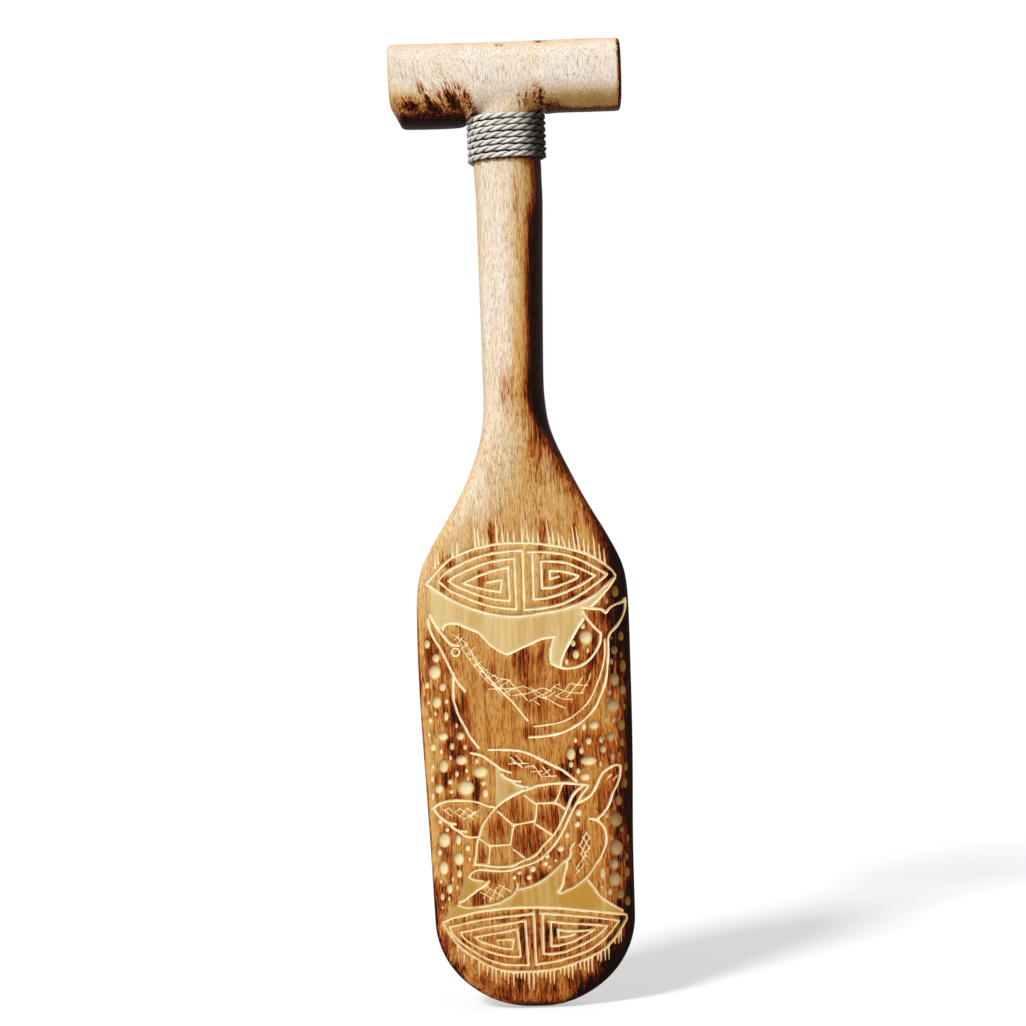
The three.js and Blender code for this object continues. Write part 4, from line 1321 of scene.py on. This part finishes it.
def stained_colour(tree, settings, at):
    """The wood's surface: bare, then browned and blackened by stain, scorch and painted shade, with dashes
    and open pores.
    """
    darkness = stain_burn_and_shade(tree, at)
    dark_ramp = colour_ramp(tree, darkness, [
        (0.0, settings.golden_wood), (0.12, settings.amber_wood), (0.28, settings.brown_wood),
        (0.5, settings.red_brown), (0.78, settings.dark_brown), (0.98, settings.black_burn_and_shade),
    ])
    colour = mix(tree, ramp(tree, darkness, 0.0, 0.3), bare_colour(tree, settings, at), dark_ramp)
    dashes = times(tree, at.fleck, times_plus(tree, at.stain, 0.4, 0.24))
    colour = mix(tree, dashes, colour, settings.dash_colour, "MULTIPLY")
    return mix(tree, times(tree, at.pores, 0.75), colour, settings.pore_colour, "MULTIPLY")


def cut_colour(tree, settings, at):
    """Fresh cuts show the pale wood inside, yellower low down, and golden where scorch and painted shade
    darken the wood.
    """
    colour = mix(tree, ramp(tree, at.deep, 0.02, 0.42), settings.shallow_cut, settings.cut_wood)
    colour = mix(tree, times(tree, at.fleck, 0.2), colour, settings.ground_deep)
    colour = mix(tree, ramp(tree, at.height, 20, -110, 0.0, 0.66), colour, settings.ground_light)
    return mix(tree, times(tree, at.burnt, 0.7), colour, settings.golden_wood, "MULTIPLY")


def hollow_colour(tree, settings, at):
    """The hollows are darker where the wood is scorched and stained, and darkest on the right, where
    painted shade darkens them.
    """
    colour = mix(tree, ramp(tree, at.bowl, 0.0, 0.42), settings.hollow_rim, settings.hollow_wood)
    burn_and_shade_tint = times_plus(tree, at.burnt, 0.5, times(tree, at.stain, 0.15))
    # Darker towards the right: painted shade of the right side.
    burn_and_shade_tint = reckon(tree, "ADD", burn_and_shade_tint, ramp(tree, at.across, 34, 56, 0.0, 0.58), clamp=True)
    return mix(tree, burn_and_shade_tint, colour, settings.hollow_dark)


def wood_material(settings, group):
    """Open-pored pale wood: bleached, brown-stained and scorched, with fresh pale cuts."""
    material, tree, shader = new_material("carved wood")
    place = add_node(tree, "ShaderNodeTexCoord").outputs["Object"]
    in_mm = vector_math(tree, "MULTIPLY", place, (1 / MM,) * 3)
    apart = add_node(tree, "ShaderNodeSeparateXYZ", [(0, in_mm)])
    across, height = apart.outputs[0], apart.outputs[2]
    grain = wood_grain(tree, in_mm, height)
    masks = {name: streaks(tree, group, grain, *values) for name, values in GRAIN.items()}
    masks.update((name, attribute(tree, name)) for name in WOOD_MARKS)
    at = SimpleNamespace(across=across, height=height, **masks)

    cut = ramp(tree, at.cut, -0.05, 0.16)
    bowl = ramp(tree, at.bowl, -0.02, 0.1)
    ground = ramp(tree, at.ground, -0.3, 0.3)
    colour = stained_colour(tree, settings, at)
    colour = mix(tree, ground, colour, ground_colour(tree, settings, at))
    colour = mix(tree, cut, colour, cut_colour(tree, settings, at))
    colour = mix(tree, bowl, colour, hollow_colour(tree, settings, at))
    tree.links.new(colour, shader.inputs["Base Color"])

    rough = times_plus(tree, cut, 0.15, ramp(tree, at.fleck, 0.0, 1.0, 0.52, 0.64))
    tree.links.new(rough, shader.inputs["Roughness"])
    shader.inputs["Specular IOR Level"].default_value = 0.04
    open_grain = reckon(tree, "MAXIMUM", at.pores, times(tree, at.fleck, 0.5))
    raised = reckon(tree, "SUBTRACT", 1.0, ground)
    add_bump(tree, shader, times(tree, times(tree, open_grain, raised), -1.0), 0.5, 0.00025)
    return material


def shaded_and_sooted(tree, settings, colour):
    """Paints shade into the furrow between the plies and the gaps between turns, and darkens the right
    side with painted shade and soot.
    """
    place = add_node(tree, "ShaderNodeTexCoord").outputs["Object"]
    core = add_node(tree, "ShaderNodeAttribute", attribute_name="core").outputs["Vector"]
    own, middle = (add_node(tree, "ShaderNodeSeparateXYZ", [(0, point)]) for point in (place, core))
    from_core = vector_math(tree, "DISTANCE", place, core, "Value")
    above = reckon(tree, "SUBTRACT", own.outputs[2], middle.outputs[2])
    # Painted shade in the furrow between the plies and in the gaps between turns.
    furrow = ramp(tree, from_core, 0.0014, 0.0009, 0.0, 0.88)
    gap = ramp(tree, reckon(tree, "ABSOLUTE", above), 0.0011, 0.0019, 0.0, 0.8)
    # The right side: painted shade, with soot beside the scorched wood.
    soot_and_shade_side = times(tree, ramp(tree, own.outputs[0], 0.005, 0.019), 0.96)
    for share in (furrow, gap, soot_and_shade_side):
        colour = mix(tree, share, colour, settings.cord_soot_and_shade)
    return colour


def cord_material(settings, group):
    """Matt natural fibre, its strands running along each ply."""
    material, tree, shader = new_material("natural cord")
    radius = settings.ply_radius / MM
    turn = times(tree, attribute(tree, "around"), 2 * math.pi)
    sine, cosine = (reckon(tree, wave, turn) for wave in ("SINE", "COSINE"))
    on_ply = combine(tree, times(tree, sine, radius), times(tree, cosine, radius),
                     attribute(tree, "along"))
    strands = streaks(tree, group, on_ply, 0.22, 9, 5.3, 0.4, 0.62)
    tone = streaks(tree, group, on_ply, 1.4, 40, 17.0, 0.35, 0.65)
    colour = mix(tree, times(tree, strands, 0.42), settings.cord_light, settings.cord_dark)
    colour = mix(tree, times(tree, tone, 0.22), colour, settings.cord_dark)
    tree.links.new(shaded_and_sooted(tree, settings, colour), shader.inputs["Base Color"])
    shader.inputs["Roughness"].default_value = 0.85
    shader.inputs["Specular IOR Level"].default_value = 0.1
    add_bump(tree, shader, strands, 0.6, 0.0002)
    return material


def cord_route():
    """Middle line of the cord in millimetres, with a straight lead at each end."""
    route = []
    steps = (CORD_END_DEG - CORD_START_DEG) // CORD_STEP_DEG
    for degrees in np.linspace(CORD_START_DEG, CORD_END_DEG, steps + 1):
        angle = -math.radians(degrees)
        c, s = math.cos(angle), math.sin(angle)
        normal = Vector((c / NECK_HALF_WIDTH, s / NECK_HALF_DEPTH)).normalized() * CORD_STANDOFF
        x = NECK_CENTRE + NECK_HALF_WIDTH * c + normal.x
        y = MID_PLANE + NECK_HALF_DEPTH * s + normal.y
        uneven = 0.12 * math.sin(0.83 * angle) + 0.11 * math.sin(2.61 * angle + 1)
        route.append(Vector((x, y, CORD_TOP - CORD_PITCH * degrees / 360 + uneven)))
    lead = (route[0] - route[1]).normalized() * CORD_LEAD
    tail = (route[-1] - route[-2]).normalized() * CORD_LEAD
    return [route[0] + lead, *route, route[-1] + tail]


def stored(tree, geometry, name, kind, value):
    """Geometry whose points keep a value under a name."""
    values = [("Geometry", geometry), ("Name", name), ("Value", value)]
    made = add_node(tree, "GeometryNodeStoreNamedAttribute", values, data_type=kind, domain="POINT")
    return made.outputs[0]


def new_cord_group(sizes):
    """An empty tree with a route and the cord's sizes as inputs, and the identifiers of these."""
    tree = bpy.data.node_groups.new("Two-ply cord", "GeometryNodeTree")
    tree.interface.new_socket("Route", in_out="INPUT", socket_type="NodeSocketGeometry")
    names = {}
    for name, value in sizes.items():
        made = tree.interface.new_socket(name, in_out="INPUT", socket_type="NodeSocketFloat")
        made.default_value = value
        names[name] = made.identifier
    tree.interface.new_socket("Cord", in_out="OUTPUT", socket_type="NodeSocketGeometry")
    return tree, names


def cord_tree(material, sizes):
    """Twists two plies round the curve that it is given."""
    tree, names = new_cord_group(sizes)
    given, result = tree.nodes.new("NodeGroupInput"), tree.nodes.new("NodeGroupOutput")
    upright = add_node(tree, "GeometryNodeSetCurveNormal",
                       [("Curve", given.outputs["Route"])], mode="Z_UP")
    even = add_node(tree, "GeometryNodeResampleCurve",
                    [("Curve", upright.outputs[0]), ("Length", given.outputs["Step"])], mode="LENGTH")
    length = tree.nodes.new("GeometryNodeSplineParameter").outputs["Length"]
    route = stored(tree, even.outputs[0], "along", "FLOAT", times(tree, length, 1 / MM))
    middle = tree.nodes.new("GeometryNodeInputPosition").outputs[0]
    route = stored(tree, route, "core", "FLOAT_VECTOR", middle)
    turns = reckon(tree, "DIVIDE", length, given.outputs["Lay"])
    tangent = tree.nodes.new("GeometryNodeInputTangent").outputs[0]
    normal = tree.nodes.new("GeometryNodeInputNormal").outputs[0]
    side = vector_math(tree, "CROSS_PRODUCT", tangent, normal)
    ring = add_node(tree, "GeometryNodeCurvePrimitiveCircle",
                    [("Resolution", PLY_SIDES), ("Radius", given.outputs["Ply radius"])])
    share = tree.nodes.new("GeometryNodeSplineParameter").outputs["Factor"]
    ring = stored(tree, ring.outputs[0], "around", "FLOAT", share)
    joined = tree.nodes.new("GeometryNodeJoinGeometry")
    for ply in (0.0, 0.5):
        angle = times(tree, reckon(tree, "ADD", turns, ply), -2 * math.pi)
        parts = []
        for part, operation in ((normal, "COSINE"), (side, "SINE")):
            reach = times(tree, reckon(tree, operation, angle), given.outputs["Ply offset"])
            values = [(0, part), ("Scale", reach)]
            scaled = add_node(tree, "ShaderNodeVectorMath", values, operation="SCALE")
            parts.append(scaled.outputs[0])
        moved = add_node(tree, "GeometryNodeSetPosition",
                         [("Geometry", route), ("Offset", vector_math(tree, "ADD", *parts))])
        skinned = add_node(tree, "GeometryNodeCurveToMesh",
                           [("Curve", moved.outputs[0]), ("Profile Curve", ring), ("Fill Caps", True)])
        tree.links.new(skinned.outputs[0], joined.inputs[0])
    rounded = add_node(tree, "GeometryNodeSetShadeSmooth", [("Geometry", joined.outputs[0])])
    real = add_node(tree, "GeometryNodeRealizeInstances", [(0, rounded.outputs[0])])
    dressed = add_node(tree, "GeometryNodeSetMaterial",
                       [("Geometry", real.outputs[0]), ("Material", material)])
    tree.links.new(dressed.outputs[0], result.inputs[0])
    return tree, names


def colour_property(name, description, *rgb):
    return bpy.props.FloatVectorProperty(
        name=name, description=description, subtype="COLOR", size=4, min=0, max=1,
        default=linear(*rgb),
    )


def length_property(name, description, default):
    return bpy.props.FloatProperty(name=name, description=description, default=default, unit="LENGTH")


class PaddleWood(bpy.types.PropertyGroup):
    line_width: length_property("Line width", "Width of the main cut lines", 0.00166)
    line_depth: length_property("Line depth", "Depth of the main cut lines", 0.00095)
    ground_depth: length_property("Ground depth", "How far the ground is cut away", 0.0006)
    hollow_depth: bpy.props.FloatProperty(
        name="Hollow depth", description="Depth of a hollow for its half width", default=0.62)
    unevenness: length_property("Unevenness", "How far the surface wavers", 0.00018)
    skin: length_property("Skin", "Spacing of the grip's mesh", 0.0012)
    pale_wood: colour_property("Pale wood", "Bleached wood", 242, 230, 215)
    cream_wood: colour_property("Cream wood", "Wood with a light stain", 234, 208, 168)
    golden_wood: colour_property("Golden wood", "Bare golden wood", 217, 174, 104)
    amber_wood: colour_property("Amber wood", "Stained wood", 200, 137, 62)
    brown_wood: colour_property("Brown wood", "Strongly stained wood", 174, 94, 36)
    red_brown: colour_property("Red brown", "Stain in the streaks", 130, 52, 20)
    # Dark brown and black stand for burnt wood and for painted shade on the right side.
    dark_brown: colour_property("Dark brown", "Burnt wood", 58, 24, 10)
    black_burn_and_shade: colour_property("Black burn", "Charred wood", 24, 11, 5)
    pore_colour: colour_property("Pores", "Shade of the open pores", 168, 132, 104)
    dash_colour: colour_property("Dashes", "Stain caught in the grain", 140, 78, 44)
    cut_wood: colour_property("Cut", "Fresh cut lines", 252, 236, 198)
    shallow_cut: colour_property("Shallow cut", "Edges of the cuts and fine hatching", 226, 180, 112)
    ground_light: colour_property("Pale ground", "Ground cut away round the figures", 224, 196, 138)
    ground_deep: colour_property("Deep ground", "Ground where its stain lies thicker", 184, 139, 60)
    hollow_wood: colour_property("Hollows", "Middle of the gouged hollows", 240, 219, 172)
    hollow_rim: colour_property("Hollow rims", "Rim of the gouged hollows", 200, 158, 98)
    # Colour of hollows in the scorch and painted shade of the right side.
    hollow_dark: colour_property("Dark hollows", "Hollows in the burnt side", 124, 84, 32)


class PaddleCord(bpy.types.PropertyGroup):
    ply_radius: length_property("Ply radius", "Half thickness of one ply", 0.0011)
    ply_offset: length_property("Ply offset", "Distance of a ply from the middle line", 0.00085)
    lay: length_property("Lay", "Length of one full twist", 0.0142)
    step: length_property("Step", "Length of one mesh ring", 0.0006)
    cord_light: colour_property("Light fibre", "Pale fibre", 255, 251, 243)
    cord_dark: colour_property("Dark fibre", "Shaded fibre", 168, 148, 124)
    # Colour of the painted shade in the cord's furrows and gaps, and of its shaded, sooty right side.
    cord_soot_and_shade: colour_property("Sooty fibre", "Fibre darkened by the burnt wood", 44, 35, 27)


class PaddleStage(bpy.types.PropertyGroup):
    key: bpy.props.FloatProperty(name="Key light", description="Strength of the main light", default=3.1)
    fill: bpy.props.FloatProperty(name="Fill light", description="Strength of the fill light", default=0.3)
    sky: bpy.props.FloatProperty(name="Sky", description="Strength of the light all round", default=0.3)


def to_frame(verts):
    """Millimetres from the tip become metres in the frame."""
    return (np.asarray(verts, float) - np.array([0, 0, MOUNT_HEIGHT])) * MM


def join_skin(settings):
    """Carved skin and grip as one closed mesh in millimetres, with its marks as layers."""
    verts, polygons, marks, rim = carved_skin(settings)
    body = bmesh.new()
    layers = {name: body.verts.layers.float.new(name) for name in marks}
    for i, co in enumerate(verts):
        vert = body.verts.new(co)
        for name, layer in layers.items():
            vert[layer] = float(marks[name][i])
    body.verts.ensure_lookup_table()
    for polygon in polygons:
        body.faces.new([body.verts[i] for i in polygon])
    rim_verts = {body.verts[i] for i in rim}
    lower = [edge for edge in body.edges if edge.is_boundary and set(edge.verts) <= rim_verts]
    grip = grip_work(settings.skin / MM)
    body.from_mesh(grip)
    upper = [edge for edge in body.edges if edge.is_boundary and edge.verts[0].co.z > SKIN_TOP + 2]
    bmesh.ops.bridge_loops(body, edges=lower + upper)
    bpy.data.meshes.remove(grip)
    for vert in body.verts:
        if vert.co.z > SKIN_TOP + 1:
            for name, bare in UNCARVED.items():
                vert[layers[name]] = bare
    bmesh.ops.recalc_face_normals(body, faces=body.faces)
    return body


class PADDLE_OT_wood(bpy.types.Operator):
    """Makes the carved blade, the shaft, the neck and the T grip"""

    bl_idname = "paddle.wood"
    bl_label = "Carve the wood"

    def execute(self, context):
        settings = context.scene.paddle_wood
        body = join_skin(settings)
        loose = [edge for edge in body.edges if len(edge.link_faces) != 2]
        if loose:
            raise RuntimeError(f"the wood isn't closed: {len(loose)} open edges")
        body.normal_update()
        co = np.array([tuple(vert.co) for vert in body.verts])
        normal = np.array([tuple(vert.normal) for vert in body.verts])
        moved = worked_by_hand(co, normal, settings.unevenness / MM)
        mesh = bpy.data.meshes.new("paddle_wood")
        body.to_mesh(mesh)
        body.free()
        mesh.vertices.foreach_set("co", to_frame(moved).ravel())
        for name, values in finish_marks(co).items():
            layer = mesh.attributes.new(name, "FLOAT", "POINT")
            layer.data.foreach_set("value", values.astype(np.float32))
        mesh.update()
        mesh.shade_smooth()
        mesh.set_sharp_from_angle(angle=math.radians(SHARP_ANGLE))
        mesh.materials.append(wood_material(settings, bpy.data.node_groups["Long streaks"]))
        piece = show("paddle_wood", mesh)
        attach(piece, BODY)
        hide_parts(WOOD_NODE)
        return {"FINISHED"}


class PADDLE_OT_cord(bpy.types.Operator):
    """Winds the two-ply cord round the neck"""

    bl_idname = "paddle.cord"
    bl_label = "Wind the cord"

    def execute(self, context):
        settings = context.scene.paddle_cord
        route = bpy.data.curves.new("cord_route", "CURVE")
        route.dimensions = "3D"
        spline = route.splines.new("POLY")
        points = to_frame([tuple(point) for point in cord_route()])
        spline.points.add(len(points) - 1)
        for target, point in zip(spline.points, points):
            target.co = (*point, 1)
        line = show("cord_route", route)
        material = cord_material(settings, bpy.data.node_groups["Long streaks"])
        sizes = {"Ply radius": settings.ply_radius, "Ply offset": settings.ply_offset,
                 "Lay": settings.lay, "Step": settings.step}
        tree, names = cord_tree(material, sizes)
        winding = line.modifiers.new("Two-ply cord", "NODES")
        winding.node_group = tree
        for name, value in sizes.items():
            winding[names[name]] = value
        mesh = evaluated_mesh(line)
        if not len(mesh.polygons):
            raise RuntimeError("the cord has no faces")
        bpy.data.objects.remove(line)
        bpy.data.curves.remove(route)
        mesh.name = "wound_cord"
        point_outwards(mesh)
        piece = show("wound_cord", mesh)
        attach(piece, BODY)
        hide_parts(CORD_NODE)
        return {"FINISHED"}


# Where the camera stands, in metres: level with the flare, rolled a little, in degrees.
CAMERA_PLACE = (-0.0037, -1.561, 0.1574)
CAMERA_ROLL = 1.87
CAMERA_LENS = 87.3
SENSOR = 36.0
# The floor's half size, its drop under the tip, its grey, and its glow towards the camera.
FLOOR_REACH = 6
FLOOR_DROP = 0.0004
FLOOR_GREY = 0.55
FLOOR_GLOW = 0.5
# Each lamp's place and the angle that its light spreads over.
KEY_LAMP = ((-1.2, -1.7, 1.75), 12)
FILL_LAMP = ((1.9, -1.2, 0.9), 60)


class PADDLE_OT_stage(bpy.types.Operator):
    """Sets the camera, the pale floor and the soft studio light"""

    bl_idname = "paddle.stage"
    bl_label = "Set the stage"

    def execute(self, context):
        settings = context.scene.paddle_stage
        scene = context.scene
        scene.view_settings.view_transform = "Standard"
        camera = bpy.data.cameras.new("camera")
        camera.lens = CAMERA_LENS
        camera.sensor_width = SENSOR
        camera.clip_end = 50
        eye = show("camera", camera)
        roll = math.radians(CAMERA_ROLL)
        right = Vector((math.cos(roll), 0, -math.sin(roll)))
        up = Vector((math.sin(roll), 0, math.cos(roll)))
        turn = Matrix((right, up, Vector((0, -1, 0)))).transposed().to_4x4()
        eye.matrix_world = Matrix.Translation(CAMERA_PLACE) @ turn
        scene.camera = eye

        lowest = CAD_BOX[0][2] - FLOOR_DROP
        corners = ((-1, -1), (1, -1), (1, 1), (-1, 1))
        verts = [(FLOOR_REACH * x, FLOOR_REACH * y, lowest) for x, y in corners]
        plane = bpy.data.meshes.new("floor")
        plane.from_pydata(verts, [], [(0, 1, 2, 3)])
        floor = show("floor", plane)
        floor.data.materials.append(self.floor_material())
        self.lamp("key", *KEY_LAMP, settings.key)
        self.lamp("fill", *FILL_LAMP, settings.fill)
        self.world(scene, settings.sky)
        return {"FINISHED"}

    def lamp(self, name, place, spread, strength):
        """A distant soft light that shines from a place towards the paddle."""
        light = bpy.data.lights.new(name, "SUN")
        light.angle = math.radians(spread)
        light.energy = strength
        lamp = show(name, light)
        lamp.location = place
        lamp.rotation_euler = Vector(place).to_track_quat("Z", "Y").to_euler()

    def seen_share(self, tree):
        """1 for a ray from the camera or a mirror-like bounce."""
        path = add_node(tree, "ShaderNodeLightPath")
        seen = reckon(tree, "MAXIMUM", path.outputs["Is Camera Ray"], path.outputs["Is Glossy Ray"])
        return reckon(tree, "MAXIMUM", seen, path.outputs["Is Transmission Ray"])

    def floor_material(self):
        material, tree, shader = new_material("pale floor")
        shader.inputs["Base Color"].default_value = (FLOOR_GREY, FLOOR_GREY, FLOOR_GREY, 1)
        shader.inputs["Roughness"].default_value = 0.9
        shader.inputs["Specular IOR Level"].default_value = 0.0
        shader.inputs["Emission Color"].default_value = (1, 1, 1, 1)
        glow = times(tree, self.seen_share(tree), FLOOR_GLOW)
        tree.links.new(glow, shader.inputs["Emission Strength"])
        return material

    def world(self, scene, strength):
        world = bpy.data.worlds.new("studio")
        scene.world = world
        world.use_nodes = True
        tree = world.node_tree
        sky = tree.nodes["Background"]
        sky.inputs["Color"].default_value = (1, 1, 1, 1)
        seen = self.seen_share(tree)
        gap = times(tree, seen, 1.0 - strength)
        tree.links.new(reckon(tree, "ADD", gap, strength), sky.inputs["Strength"])


class PADDLE_PT_panel(bpy.types.Panel):
    """Lists the steps that make the paddle"""

    bl_idname = "PADDLE_PT_panel"
    bl_label = "Carved paddle"
    bl_space_type = "VIEW_3D"
    bl_region_type = "UI"
    bl_category = "Paddle"

    def draw(self, context):
        for step in STEPS:
            self.layout.operator(step.bl_idname)


STEPS = (PADDLE_OT_stage, PADDLE_OT_wood, PADDLE_OT_cord)
GROUPS = {"paddle_wood": PaddleWood, "paddle_cord": PaddleCord, "paddle_stage": PaddleStage}


def register():
    for made in (*GROUPS.values(), *STEPS, PADDLE_PT_panel):
        bpy.utils.register_class(made)
    for name, group in GROUPS.items():
        setattr(bpy.types.Scene, name, bpy.props.PointerProperty(type=group))


def unregister():
    for name in GROUPS:
        delattr(bpy.types.Scene, name)
    for made in (PADDLE_PT_panel, *STEPS, *GROUPS.values()):
        bpy.utils.unregister_class(made)


def main():
    register()
    streaks_group()
    bpy.ops.paddle.stage()
    bpy.ops.paddle.wood()
    bpy.ops.paddle.cord()
    bpy.context.view_layer.update()


if __name__ == "__main__":
    main()
